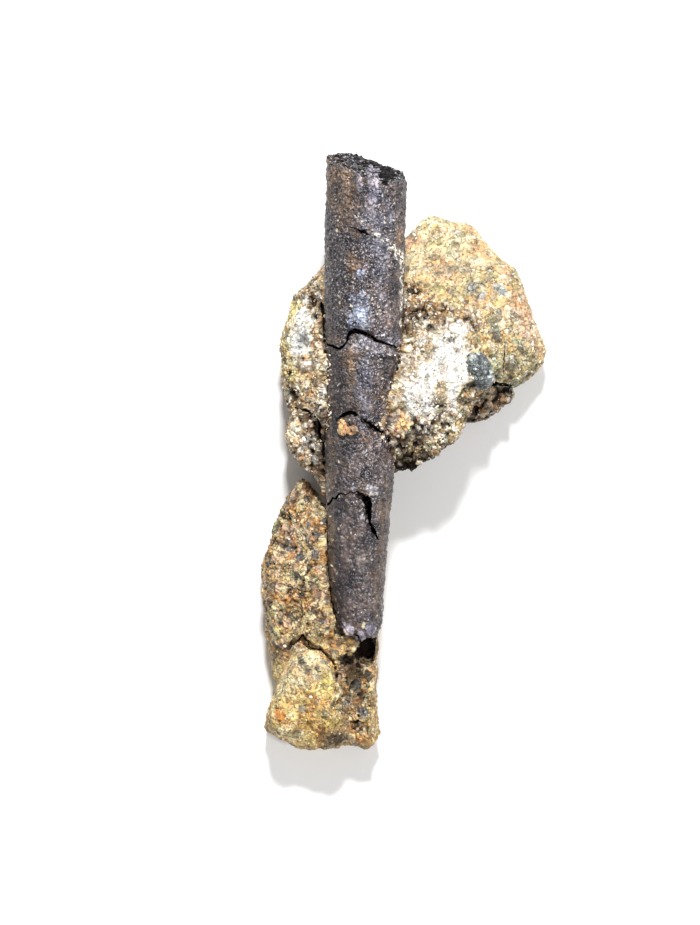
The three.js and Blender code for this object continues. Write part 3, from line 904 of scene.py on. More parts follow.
# The tones of the sand grains. Each starts at its chance, and has its colour and how much of it shows.
PALE_KINDS = [
    (0.0, srgb(52, 46, 42), 0.75), (0.045, srgb(96, 102, 110), 0.6), (0.10, srgb(206, 144, 88), 0.35),
    (0.15, srgb(255, 252, 242), 0.6), (0.32, srgb(206, 188, 154), 0.35), (0.44, srgb(160, 168, 140), 0.35),
    (0.48, srgb(228, 190, 162), 0.4), (0.55, srgb(116, 92, 66), 0.5), (0.64, srgb(200, 200, 200), 0.0)]
GOLD_KINDS = [
    (0.0, srgb(50, 46, 42), 0.75), (0.03, srgb(92, 98, 104), 0.65), (0.07, srgb(222, 154, 84), 0.35),
    (0.13, srgb(254, 242, 208), 0.45), (0.27, srgb(206, 176, 124), 0.3), (0.42, srgb(162, 170, 132), 0.3),
    (0.47, srgb(234, 196, 166), 0.4), (0.56, srgb(118, 92, 62), 0.4), (0.64, srgb(200, 200, 200), 0.0)]
PALE_PEBBLES = [
    (0.0, srgb(66, 62, 60), 0.8), (0.03, srgb(110, 118, 126), 0.7), (0.07, srgb(250, 242, 220), 0.5),
    (0.13, srgb(206, 150, 96), 0.35), (0.16, srgb(160, 170, 144), 0.5), (0.21, srgb(200, 200, 200), 0.0)]
GOLD_PEBBLES = [
    (0.0, srgb(54, 54, 54), 0.9), (0.035, srgb(94, 104, 114), 0.9), (0.085, srgb(250, 236, 190), 0.65),
    (0.23, srgb(222, 164, 98), 0.5), (0.30, srgb(166, 176, 142), 0.55), (0.35, srgb(236, 202, 176), 0.6),
    (0.43, srgb(124, 98, 66), 0.45), (0.52, srgb(232, 210, 150), 0.5), (0.66, srgb(200, 200, 200), 0.0)]
# The tones of the loose grains: how many, the colour, how much of it shows, and the roughness.
PALE_LOOSE = [
    (0.09, srgb(50, 45, 42), 0.85, 0.35), (0.06, srgb(104, 110, 118), 0.8, 0.4),
    (0.03, srgb(204, 136, 76), 0.5, 0.6), (0.30, srgb(246, 242, 232), 0.65, 0.2),
    (0.03, srgb(150, 162, 130), 0.5, 0.5), (0.06, srgb(236, 196, 166), 0.5, 0.45),
    (0.14, srgb(122, 96, 68), 0.5, 0.6)]
GOLD_LOOSE = [
    (0.10, srgb(50, 45, 40), 0.85, 0.35), (0.10, srgb(100, 104, 108), 0.8, 0.4),
    (0.06, srgb(218, 148, 78), 0.45, 0.6), (0.10, srgb(252, 240, 214), 0.6, 0.3),
    (0.04, srgb(156, 162, 116), 0.5, 0.5), (0.20, srgb(222, 184, 120), 0.5, 0.6),
    (0.12, srgb(124, 92, 54), 0.5, 0.6)]
DARK_LOOSE = [
    (0.4, srgb(58, 56, 56), 0.9, 0.35), (0.3, srgb(88, 94, 102), 0.85, 0.4),
    (0.2, srgb(116, 124, 132), 0.8, 0.5), (0.1, srgb(40, 34, 30), 0.9, 0.6)]

# The rock's surface sinks this far, in millimetres, before its relief is raised.
ROCK_SINK = 0.1
ROCK_ROUNDS = 5
# Low down, where the rock stands on the table, the relief is this calm up to this height in millimetres.
CALM = 0.25
CALM_HEIGHT = 0.9
# How crumbly the rock is where no patch says otherwise.
CRUMBLY = 0.45
# Lumps this tall have a crease round them, with painted shade in it, which drops this deep, in millimetres.
RINGED = 0.3
CREASE_DROP = 0.2
# What stands for a distance that is too far to matter.
FAR = 9.0
# Holes fade between these distances from the tooth, and sand is drawn up to it from this one.
BESIDE_TOOTH = (1.5, 0.6)
DRAWN_UP = 0.75


def lump_insides(surface, lumps):
    """Each lump's tone and height, and how far inside it each vertex is: 1 at its middle, 0 at its rim."""
    wobble = 1 + 0.9 * (surface.middle[:, 2] - 0.5) + 0.8 * (surface.fine[:, 2] - 0.5)
    for tone, tall, *places in lumps:
        for place in np.array(places):
            across, along = ((surface.share[:, :2] - place[:2]) / place[2:]).T
            yield tone, tall, 1 - np.hypot(across, along) * wobble


def lumps_on(surface, lumps, crease_depth):
    """The height of rounded lumps, and how much painted shade lies in the crease round them at each vertex.
    """
    height, inside = np.zeros(len(surface.points)), np.full(len(surface.points), -FAR)
    for _, tall, depth in lump_insides(surface, lumps):
        height = np.maximum(height, tall * (1 - (1 - np.clip(depth, 0, 1)) ** 2) ** 0.85)
        if tall >= RINGED:
            inside = np.maximum(inside, depth)
    ring = smoothstep(-0.5, -0.15, inside) * smoothstep(0.15, -0.05, inside)
    crease = crease_depth * ring * surface.topside
    return (height - CREASE_DROP * crease) * surface.topside, crease


# How high the relief of the rock is, in millimetres: its grains, its three waves, and its holes.
GRAIN_HEIGHT = 0.15
BROAD_HEIGHT, MIDDLE_HEIGHT, FINE_HEIGHT = 0.4, 0.6, 0.3
HOLE_DEPTH = 0.45
# The radius of a grain's dome, in cells.
DOME_REACH = 0.62


def rock_relief(surface, crumbly):
    """The height of sand grains, lumps and holes over the sunk surface."""
    size = 0.35 + 0.95 * surface.cell_colour[:, 1]
    dome = size * (1 - np.minimum(surface.cell_distance / DOME_REACH, 1.2) ** 2)
    strength = 0.3 + 1.05 * crumbly
    relief = GRAIN_HEIGHT * dome * strength
    waves = MIDDLE_HEIGHT * (surface.middle[:, 0] - 0.5) + FINE_HEIGHT * (surface.fine[:, 0] - 0.5)
    relief += waves * strength
    relief += BROAD_HEIGHT * (surface.broad[:, 0] - 0.5)
    hole = smoothstep(0.54, 0.66, surface.middle[:, 1]) + 0.8 * smoothstep(0.58, 0.7, surface.fine[:, 1])
    return relief - HOLE_DEPTH * hole * smoothstep(0.35, 1.0, crumbly)


def way_to(surface, tooth, reach):
    """The way from each vertex to the nearest place on the tooth, and its length: FAR where beyond reach."""
    box_low, box_high = tooth.points.min(0) - reach, tooth.points.max(0) + reach
    near = np.flatnonzero(np.all((surface.points > box_low) & (surface.points < box_high), axis=1))
    way, away = np.zeros_like(surface.points), np.full(len(surface.points), FAR)
    for index in near:
        found, _, _, distance = tooth.tree().find_nearest(Vector(surface.points[index]), reach)
        if found is not None:
            way[index], away[index] = np.array(found) - surface.points[index], distance
    return way, away


def close_gap(surface, tooth, left):
    """Brings the rock's surface up to the tooth where the two are close, so that sand meets enamel."""
    way, away = way_to(surface, tooth, DRAWN_UP)
    drawn = smoothstep(DRAWN_UP, 0.5 * DRAWN_UP, away)
    push = np.maximum(away - left, 0) * drawn / np.maximum(away, 1e-6)
    surface.points = surface.points + way * push[:, None]
    return away


def rock_tint(surface, base, patches, lumps):
    """The colour of every vertex, and how much of a lump it is."""
    tint = surface.painted(base, patches)
    lumped = np.zeros(len(tint))
    for tone, _, inside in lump_insides(surface, lumps):
        share = 0.95 * smoothstep(0.0, 0.2, inside) * surface.topside
        if tone is not None:
            tint += (tone - tint) * share[:, None]
            lumped = np.maximum(lumped, share)
    return tint, lumped


def store_sand(mesh, tint, lumped, crumbly, hollow, crease):
    """Keeps what the sandstone material reads, and returns how crumbly the lumps leave the rock."""
    whiteness = smoothstep(0.6, 0.85, tint.min(1))
    light = smoothstep(0.02, 0.3, tint.max(1))
    black = smoothstep(0.03, 0.01, tint.max(1))
    # Painted shade in hollows, in the creases round lumps and in the gaps between crumbly lumps; black tint
    # is kept with it so that its gloss drops too.
    hollow = np.maximum(hollow * (1 - 0.5 * whiteness), crease)
    gappy = 0.75 * smoothstep(0.95, 1.3, crumbly) * (1 - 0.8 * lumped)
    crumbly = np.minimum(crumbly, 1) * (1 - 0.4 * lumped)
    store(mesh, tint=tint, gappy=gappy,
          cavity=0.9 * np.maximum(hollow, black),
          vivid=(0.3 + 0.7 * crumbly) * (1 - 0.55 * whiteness) * light,
          pebbly=(0.45 + 0.55 * crumbly) * (1 - 0.7 * whiteness) * light,
          mottled=0.9 - 0.6 * whiteness,
          pitted=np.clip(0.1 + 0.7 * crumbly, 0, 0.75 + 0.1 * whiteness))
    return crumbly


# Loose grains keep this far from the table and from the tooth, in millimetres.
CLEAR_OF_TABLE = 0.6
CLEAR_OF_TOOTH = 0.35


def grain_chance(surface, tint, crumbly, away):
    """Where loose grains lie: on top, on crumbly rock, not on black, and clear of the table and the tooth."""
    up = smoothstep(-0.5, 0.4, surface.normals[:, 2])
    keep = (0.15 + up) * (surface.rest[:, 2] > CLEAR_OF_TABLE) * (away > CLEAR_OF_TOOTH) * (0.04 + crumbly)
    return keep * (0.03 + smoothstep(0.03, 0.35, tint.max(1)))


def build_rock(tooth, material, node, piece, slot, voxel, most, base, patches, crumbs, lumps, crease_depth,
               cuts, gap_left, grains):
    """One lump of sandstone with its cracks. Returns its surface, and its loose grains in lots."""
    surface = Surface(smooth_mesh(node, voxel, ROCK_ROUNDS, most), *box_of(node), GRAIN, GRAIN_WARP)
    crumbly = surface.painted(CRUMBLY, crumbs)[:, 0]
    relief = rock_relief(surface, crumbly)
    beside = smoothstep(*BESIDE_TOOTH, way_to(surface, tooth, BESIDE_TOOTH[0])[1])
    relief = np.where(relief < 0, relief * (1 - 0.85 * beside), relief)
    height, crease = lumps_on(surface, lumps, crease_depth)
    calm = CALM + (1 - CALM) * smoothstep(0.0, CALM_HEIGHT, surface.rest[:, 2])
    surface.raise_by(height)
    surface.raise_by((relief - ROCK_SINK) * calm)
    away = close_gap(surface, tooth, gap_left)
    surface.settle()
    tint, lumped = rock_tint(surface, base, patches, lumps)
    # Where the relief dips into holes, painted shade darkens the rock.
    crumbly = store_sand(surface.mesh, tint, lumped, crumbly, smoothstep(0.0, -0.3, relief), crease)
    keep = grain_chance(surface, tint, crumbly, away)
    lots = [scatter(surface, tint, keep, **grain) for grain in grains]
    rock = finish_piece(surface.mesh, piece, material, node)
    cut_out(rock, [surface.route(cut) for cut in cuts], surface)
    return surface, lots


# ---------------- upper lump

# Each group: the tone, how strong it is, how it ends, then its places: the middle across and along, and the
# reach both ways, all as shares of the node's box, and sometimes a turn in degrees.
UPPER_PATCHES = [
    # the back lobe
    (STRAW, 1.0, SOFT, (0.70, 0.72, 0.42, 0.42)),
    (CREAM, 1.0, SOFT, (0.60, 0.89, 0.24, 0.15), (0.95, 0.54, 0.06, 0.06)),
    (srgb(254, 240, 212), 0.6, SOFT, (0.60, 0.92, 0.2, 0.1)),
    (BUTTER, 0.7, SOFT, (0.568, 0.972, 0.044, 0.031), (0.586, 0.899, 0.03, 0.021),
     (0.679, 0.934, 0.022, 0.017), (0.80, 0.68, 0.03, 0.02), (0.93, 0.48, 0.04, 0.03)),
    (PEACH, 0.65, SOFT, (0.505, 0.909, 0.03, 0.024), (0.616, 0.951, 0.018, 0.017),
     (0.738, 0.892, 0.03, 0.03), (0.838, 0.811, 0.035, 0.02), (0.967, 0.525, 0.02, 0.04),
     (0.74, 0.70, 0.03, 0.02)),
    (PINK, 0.7, SOFT, (0.90, 0.68, 0.04, 0.06), (0.93, 0.60, 0.04, 0.05), (0.62, 0.80, 0.05, 0.03)),
    (STONE, 0.45, SOFT, (0.63, 0.81, 0.10, 0.025)),
    (srgb(146, 138, 108), 0.8, CRISP, (0.653, 0.899, 0.018, 0.014), (0.646, 0.92, 0.012, 0.006),
     (0.634, 0.867, 0.015, 0.007), (0.66, 0.839, 0.011, 0.01), (0.509, 0.832, 0.016, 0.006, 25),
     (0.727, 0.85, 0.015, 0.01)),
    (srgb(124, 118, 94), 0.8, CRISP, (0.579, 0.85, 0.023, 0.014, 8), (0.701, 0.825, 0.011, 0.01),
     (0.819, 0.662, 0.01, 0.013), (0.86, 0.634, 0.01, 0.01), (0.838, 0.63, 0.007, 0.007),
     (0.594, 0.815, 0.008, 0.007), (0.93, 0.56, 0.012, 0.006), (0.52, 0.76, 0.012, 0.008)),
    (srgb(172, 184, 194), 0.95, CRISP, (0.819, 0.738, 0.034, 0.017, -38), (0.716, 0.745, 0.02, 0.019),
     (0.753, 0.714, 0.02, 0.018)),
    (SLATE, 0.7, CRISP, (0.756, 0.756, 0.011, 0.01), (0.771, 0.522, 0.009, 0.007),
     (0.768, 0.672, 0.011, 0.007)),
    (BUTTER, 0.9, CRISP, (0.587, 0.735, 0.032, 0.018), (0.601, 0.70, 0.019, 0.01)),
    (UMBER, 0.65, CLEAR, (0.56, 0.705, 0.05, 0.006, 38), (0.605, 0.686, 0.017, 0.005),
     (0.498, 0.752, 0.016, 0.01), (0.686, 0.634, 0.013, 0.009), (0.749, 0.637, 0.006, 0.008)),
    (AMBER, 0.5, SOFT, (0.524, 0.711, 0.03, 0.014), (0.838, 0.648, 0.009, 0.02), (0.44, 0.73, 0.03, 0.04)),
    (MOSS, 0.6, SOFT, (0.84, 0.45, 0.12, 0.09)),
    (MINT, 0.8, CLEAR, (0.878, 0.555, 0.016, 0.012), (0.79, 0.491, 0.016, 0.021),
     (0.801, 0.463, 0.022, 0.024)),
    (srgb(126, 130, 112), 0.9, CLEAR, (0.80, 0.613, 0.019, 0.04, 10)),
    (BLACK, 0.85, CRISP, (0.805, 0.562, 0.021, 0.012), (0.52, 0.731, 0.011, 0.014),
     (0.697, 0.693, 0.009, 0.008), (0.479, 0.811, 0.008, 0.01), (0.86, 0.431, 0.008, 0.009)),
    (srgb(88, 96, 100), 0.95, CRISP, (0.808, 0.58, 0.017, 0.013)),
    (UMBER, 0.85, CLEAR, (0.862, 0.474, 0.027, 0.026), (0.93, 0.442, 0.016, 0.007)),
    (srgb(136, 134, 108), 0.9, CRISP, (0.857, 0.482, 0.021, 0.02)),
    (IRON, 0.85, CRISP, (0.897, 0.529, 0.015, 0.009, -30)),
    (BUTTER, 0.7, SOFT, (0.838, 0.407, 0.03, 0.016), (0.75, 0.53, 0.03, 0.03)),
    # the brown seam between lobe and ledge: brown rock, with painted contact shadow beside the tooth
    (BUFF, 0.8, SOFT, (0.66, 0.62, 0.10, 0.05)),
    (BROWN, 0.8, SOFT, (0.53, 0.64, 0.085, 0.07), (0.46, 0.60, 0.04, 0.12)),
    (OCHRE, 0.6, CLEAR, (0.53, 0.60, 0.02, 0.015), (0.49, 0.65, 0.015, 0.02), (0.58, 0.60, 0.015, 0.012)),
    (srgb(84, 78, 72), 0.8, CLEAR, (0.531, 0.669, 0.014, 0.012), (0.587, 0.637, 0.013, 0.012)),
    # Painted shadow: black spots in the contact shade beside the tooth.
    (BLACK, 0.75, CLEAR, (0.479, 0.595, 0.02, 0.02), (0.487, 0.55, 0.012, 0.008),
     (0.549, 0.585, 0.01, 0.008), (0.634, 0.613, 0.008, 0.013), (0.616, 0.595, 0.009, 0.009),
     (0.46, 0.64, 0.01, 0.02)),
    # the ledge and its white crust
    (srgb(190, 170, 144), 1.0, SOFT, (0.56, 0.28, 0.19, 0.18)),
    (OCHRE, 0.5, SOFT, (0.43, 0.50, 0.03, 0.06), (0.52, 0.53, 0.04, 0.02)),
    (CREAM, 0.8, TORN, (0.60, 0.48, 0.14, 0.13), (0.53, 0.38, 0.11, 0.12)),
    (WHITE, 0.95, TORN, (0.653, 0.543, 0.056, 0.08), (0.598, 0.491, 0.104, 0.08), (0.535, 0.41, 0.09, 0.095),
     (0.653, 0.438, 0.05, 0.075), (0.664, 0.595, 0.033, 0.024), (0.653, 0.36, 0.032, 0.06),
     (0.487, 0.473, 0.05, 0.045), (0.52, 0.33, 0.06, 0.05)),
    (WHITE, 0.9, SOFT, (0.645, 0.50, 0.04, 0.09), (0.53, 0.43, 0.04, 0.06), (0.505, 0.37, 0.045, 0.07)),
    (BUFF, 0.5, TORN, (0.49, 0.46, 0.035, 0.05), (0.55, 0.50, 0.025, 0.03)),
    (srgb(170, 146, 106), 0.8, TORN, (0.598, 0.375, 0.022, 0.045), (0.56, 0.53, 0.02, 0.02)),
    (LEMON, 0.6, CLEAR, (0.69, 0.34, 0.03, 0.06), (0.675, 0.27, 0.03, 0.02)),
    (CHALK, 0.7, CLEAR, (0.61, 0.27, 0.05, 0.03), (0.542, 0.246, 0.014, 0.01),
     (0.527, 0.271, 0.016, 0.008)),
    (SKY, 0.4, SOFT, (0.61, 0.47, 0.02, 0.03), (0.45, 0.46, 0.02, 0.03)),
    (SLATE, 0.7, TORN, (0.549, 0.431, 0.008, 0.018), (0.657, 0.522, 0.008, 0.01),
     (0.575, 0.519, 0.008, 0.014), (0.494, 0.484, 0.008, 0.016), (0.646, 0.571, 0.011, 0.02),
     (0.62, 0.56, 0.014, 0.012)),
    (srgb(88, 68, 48), 0.9, SOFT, (0.46, 0.18, 0.09, 0.09)),
    (srgb(88, 66, 46), 0.9, TORN, (0.55, 0.20, 0.06, 0.045), (0.51, 0.24, 0.03, 0.03),
     (0.60, 0.25, 0.03, 0.02)),
    (srgb(136, 112, 84), 0.7, SOFT, (0.60, 0.17, 0.10, 0.05), (0.50, 0.25, 0.07, 0.04)),
    (CREAM, 0.7, TORN, (0.62, 0.23, 0.07, 0.04), (0.56, 0.20, 0.03, 0.02), (0.48, 0.19, 0.02, 0.02)),
    (STRAW, 0.6, CLEAR, (0.53, 0.17, 0.03, 0.015), (0.60, 0.21, 0.03, 0.025), (0.64, 0.21, 0.03, 0.02)),
    # Painted shade: black in the gaps between the ledge's lumps and in its crevices.
    (BLACK, 0.85, TORN, (0.405, 0.182, 0.022, 0.006), (0.468, 0.187, 0.013, 0.03),
     (0.509, 0.278, 0.009, 0.009), (0.616, 0.26, 0.014, 0.014), (0.594, 0.288, 0.006, 0.012),
     (0.524, 0.229, 0.04, 0.007, 15), (0.549, 0.155, 0.012, 0.022), (0.616, 0.185, 0.03, 0.007, 30),
     (0.40, 0.25, 0.01, 0.02)),
    # Painted shade: a brown shadow ring round the boulder, and brown shade in crevices.
    (UMBER, 0.75, TORN, (0.506, 0.25, 0.014, 0.04), (0.48, 0.21, 0.04, 0.012), (0.41, 0.29, 0.014, 0.02)),
    # Painted shade under the ledge's overhanging bottom.
    (BLACK, 0.95, DEEP, (0.46, 0.115, 0.10, 0.04), (0.58, 0.12, 0.07, 0.025)),
    # the low knob, dark brown between its lumps as painted shade under the back lobe
    (srgb(50, 38, 30), 1.0, SOFT, (0.79, 0.33, 0.11, 0.085)),
    # Painted shadow: black under the back lobe's edge and in the gaps between the knob's lumps.
    (BLACK, 0.95, CLEAR, (0.716, 0.403, 0.024, 0.012), (0.782, 0.407, 0.04, 0.013),
     (0.856, 0.386, 0.035, 0.012), (0.735, 0.316, 0.008, 0.026), (0.708, 0.281, 0.024, 0.012)),
    # the left lobe
    (srgb(216, 194, 162), 1.0, SOFT, (0.10, 0.50, 0.14, 0.42)),
    (CREAM, 0.8, TORN, (0.07, 0.57, 0.06, 0.13), (0.12, 0.44, 0.05, 0.05)),
    (srgb(250, 240, 168), 1.0, DEEP, (0.042, 0.56, 0.038, 0.16), (0.06, 0.67, 0.024, 0.05)),
    (BUTTER, 0.7, TORN, (0.05, 0.46, 0.03, 0.05)),
    (WHITE, 1.0, TORN, (0.075, 0.56, 0.036, 0.08), (0.088, 0.644, 0.028, 0.036),
     (0.121, 0.627, 0.018, 0.018), (0.147, 0.717, 0.02, 0.016), (0.106, 0.554, 0.02, 0.03),
     (0.18, 0.47, 0.008, 0.03), (0.172, 0.385, 0.018, 0.018), (0.105, 0.70, 0.02, 0.02),
     (0.10, 0.475, 0.02, 0.02)),
    (WHITE, 0.95, SOFT, (0.088, 0.56, 0.036, 0.075)),
    (srgb(238, 242, 254), 0.8, TORN, (0.085, 0.55, 0.018, 0.035)),
    (CREAM, 0.8, SOFT, (0.12, 0.76, 0.05, 0.04), (0.10, 0.29, 0.03, 0.03)),
    (RUST, 0.8, CLEAR, (0.15, 0.634, 0.013, 0.02), (0.128, 0.54, 0.012, 0.015), (0.136, 0.431, 0.012, 0.012),
     (0.15, 0.41, 0.012, 0.01)),
    (PEACH, 0.7, CLEAR, (0.128, 0.592, 0.012, 0.014), (0.099, 0.498, 0.018, 0.014),
     (0.132, 0.39, 0.016, 0.012), (0.11, 0.25, 0.02, 0.012)),
    (ASH, 0.7, CLEAR, (0.102, 0.456, 0.018, 0.012), (0.073, 0.473, 0.012, 0.01), (0.14, 0.33, 0.02, 0.02)),
    (SLATE, 0.7, CRISP, (0.102, 0.191, 0.015, 0.014)),
    (OLIVE, 0.7, CRISP, (0.054, 0.623, 0.01, 0.014), (0.028, 0.585, 0.01, 0.01)),
    (MOSS, 0.85, SOFT, (0.032, 0.365, 0.016, 0.035)),
    (UMBER, 0.85, CLEAR, (0.025, 0.421, 0.016, 0.012), (0.125, 0.309, 0.016, 0.007, -30),
     (0.147, 0.12, 0.03, 0.022)),
    (srgb(56, 30, 22), 0.95, CLEAR, (0.091, 0.316, 0.024, 0.007, -5)),
    (CREAM, 0.95, CLEAR, (0.065, 0.243, 0.032, 0.026), (0.036, 0.222, 0.02, 0.026)),
    (OCHRE, 0.5, SOFT, (0.08, 0.152, 0.02, 0.02)),
    (srgb(88, 64, 44), 0.9, HOLE, (0.172, 0.24, 0.058, 0.08), (0.165, 0.14, 0.036, 0.06),
     (0.10, 0.28, 0.02, 0.02)),
    (srgb(62, 44, 30), 0.8, HOLE, (0.15, 0.18, 0.04, 0.06)),
    (BLACK, 1.0, DEEP, (0.145, 0.262, 0.024, 0.024), (0.170, 0.18, 0.012, 0.05)),
    (STRAW, 0.6, TORN, (0.14, 0.20, 0.02, 0.02), (0.13, 0.15, 0.02, 0.02)),
    (CHALK, 0.9, TORN, (0.10, 0.215, 0.022, 0.012), (0.125, 0.19, 0.012, 0.01),
     (0.085, 0.175, 0.016, 0.012)),
    # Painted shadow in the crevice between the left lobe and the tooth, and in a hole.
    (BLACK, 0.9, CLEAR, (0.158, 0.6755, 0.014, 0.017), (0.168, 0.62, 0.008, 0.07),
     (0.178, 0.36, 0.009, 0.009)),
]
# Rounded lumps: the tone, or None to keep the colour, and the height, then the places as above.
UPPER_LUMPS = [
    (srgb(236, 214, 178), 0.46, (0.453, 0.267, 0.047, 0.045)),
    (PEACH, 0.5, (0.428, 0.246, 0.022, 0.02), (0.46, 0.292, 0.024, 0.016)),
    (BUTTER, 0.52, (0.455, 0.268, 0.02, 0.018), (0.479, 0.253, 0.014, 0.014)),
    (ASH, 0.52, (0.444, 0.232, 0.016, 0.012), (0.475, 0.277, 0.011, 0.011)),
    (srgb(222, 204, 176), 0.24, (0.402, 0.2325, 0.015, 0.014), (0.402, 0.163, 0.014, 0.014),
     (0.524, 0.131, 0.018, 0.01), (0.43, 0.325, 0.02, 0.015)),
    (srgb(206, 200, 192), 0.24, (0.4165, 0.201, 0.0125, 0.0115), (0.479, 0.142, 0.015, 0.009),
     (0.542, 0.243, 0.012, 0.011), (0.583, 0.243, 0.011, 0.012), (0.495, 0.219, 0.009, 0.01)),
    (STRAW, 0.22, (0.435, 0.166, 0.013, 0.012), (0.51, 0.184, 0.015, 0.013), (0.537, 0.168, 0.013, 0.011),
     (0.575, 0.205, 0.02, 0.015)),
    (CHALK, 0.24, (0.516, 0.253, 0.013, 0.0115), (0.56, 0.257, 0.012, 0.011), (0.531, 0.275, 0.011, 0.01),
     (0.624, 0.259, 0.006, 0.006), (0.65, 0.25, 0.016, 0.012), (0.605, 0.225, 0.014, 0.009)),
    # the low knob
    (srgb(200, 168, 126), 0.42, (0.738, 0.362, 0.036, 0.032), (0.705, 0.32, 0.018, 0.022)),
    (srgb(196, 178, 158), 0.38, (0.785, 0.372, 0.027, 0.025)),
    (srgb(150, 146, 140), 0.33, (0.777, 0.334, 0.024, 0.019)),
    (srgb(176, 144, 106), 0.33, (0.76, 0.306, 0.024, 0.017), (0.694, 0.365, 0.016, 0.022)),
    (srgb(136, 110, 84), 0.33, (0.81, 0.327, 0.02, 0.022), (0.826, 0.36, 0.017, 0.019),
     (0.85, 0.352, 0.014, 0.014)),
    (None, 0.1, (0.857, 0.482, 0.02, 0.019), (0.808, 0.578, 0.018, 0.015), (0.09, 0.36, 0.03, 0.025)),
    # the left lobe
    (srgb(255, 248, 226), 0.28, (0.06, 0.243, 0.034, 0.03)),
]
# How crumbly each part is, from 0 for smooth and quiet to 1 for loose and pitted, and how strongly.
UPPER_CRUMBS = [
    (0.12, 0.95, SOFT, (0.72, 0.84, 0.36, 0.16)),
    (0.25, 0.8, SOFT, (0.93, 0.62, 0.10, 0.2)),
    (0.5, 0.8, SOFT, (0.80, 0.50, 0.15, 0.12)),
    (0.8, 0.9, SOFT, (0.62, 0.62, 0.14, 0.07)),
    (1.15, 0.95, SOFT, (0.49, 0.62, 0.08, 0.14)),
    (0.5, 0.8, SOFT, (0.60, 0.46, 0.15, 0.17)),
    (1.2, 1.0, SOFT, (0.53, 0.17, 0.18, 0.12)),
    (0.7, 0.9, SOFT, (0.78, 0.34, 0.12, 0.08)),
    (0.85, 0.9, SOFT, (0.11, 0.40, 0.13, 0.5)),
    (1.15, 0.95, SOFT, (0.13, 0.22, 0.08, 0.10)),
    (0.4, 0.8, SOFT, (0.07, 0.57, 0.05, 0.12), (0.05, 0.24, 0.05, 0.04), (0.10, 0.44, 0.06, 0.05)),
]
# The cracks' routes: places across and along, as shares of the box, and the width in millimetres.
UPPER_CUTS = [
    [(0.84, 0.558, 0.08), (0.837, 0.53, 0.16), (0.836, 0.505, 0.24), (0.832, 0.46, 0.14),
     (0.836, 0.43, 0.06)],
    [(0.158, 0.695, 0.1), (0.16, 0.68, 0.5), (0.165, 0.66, 0.5), (0.168, 0.60, 0.3), (0.17, 0.55, 0.2)],
    [(0.06, 0.326, 0.1), (0.08, 0.318, 0.34), (0.105, 0.314, 0.3), (0.125, 0.303, 0.4),
     (0.145, 0.285, 0.2)],
    [(0.145, 0.285, 0.2), (0.155, 0.262, 0.5), (0.15, 0.245, 0.6), (0.155, 0.22, 0.4), (0.165, 0.20, 0.2)],
    [(0.72, 0.40, 0.2), (0.76, 0.402, 0.5), (0.80, 0.41, 0.6), (0.84, 0.405, 0.5), (0.875, 0.40, 0.2)],
]
UPPER_ROCK = dict(
    node="upper_matrix", piece="upper_rock", slot="pale_sandstone", voxel=0.134, most=170000, base=BUFF,
    patches=UPPER_PATCHES, crumbs=UPPER_CRUMBS, lumps=UPPER_LUMPS, crease_depth=0.7, cuts=UPPER_CUTS,
    gap_left=0.02,
    grains=[dict(count=4600, low=0.07, high=0.28, kinds=PALE_LOOSE, seed=11),
            dict(count=90, low=0.22, high=0.4, kinds=DARK_LOOSE, seed=12, proud=0.1)])

# ---------------- lower lump

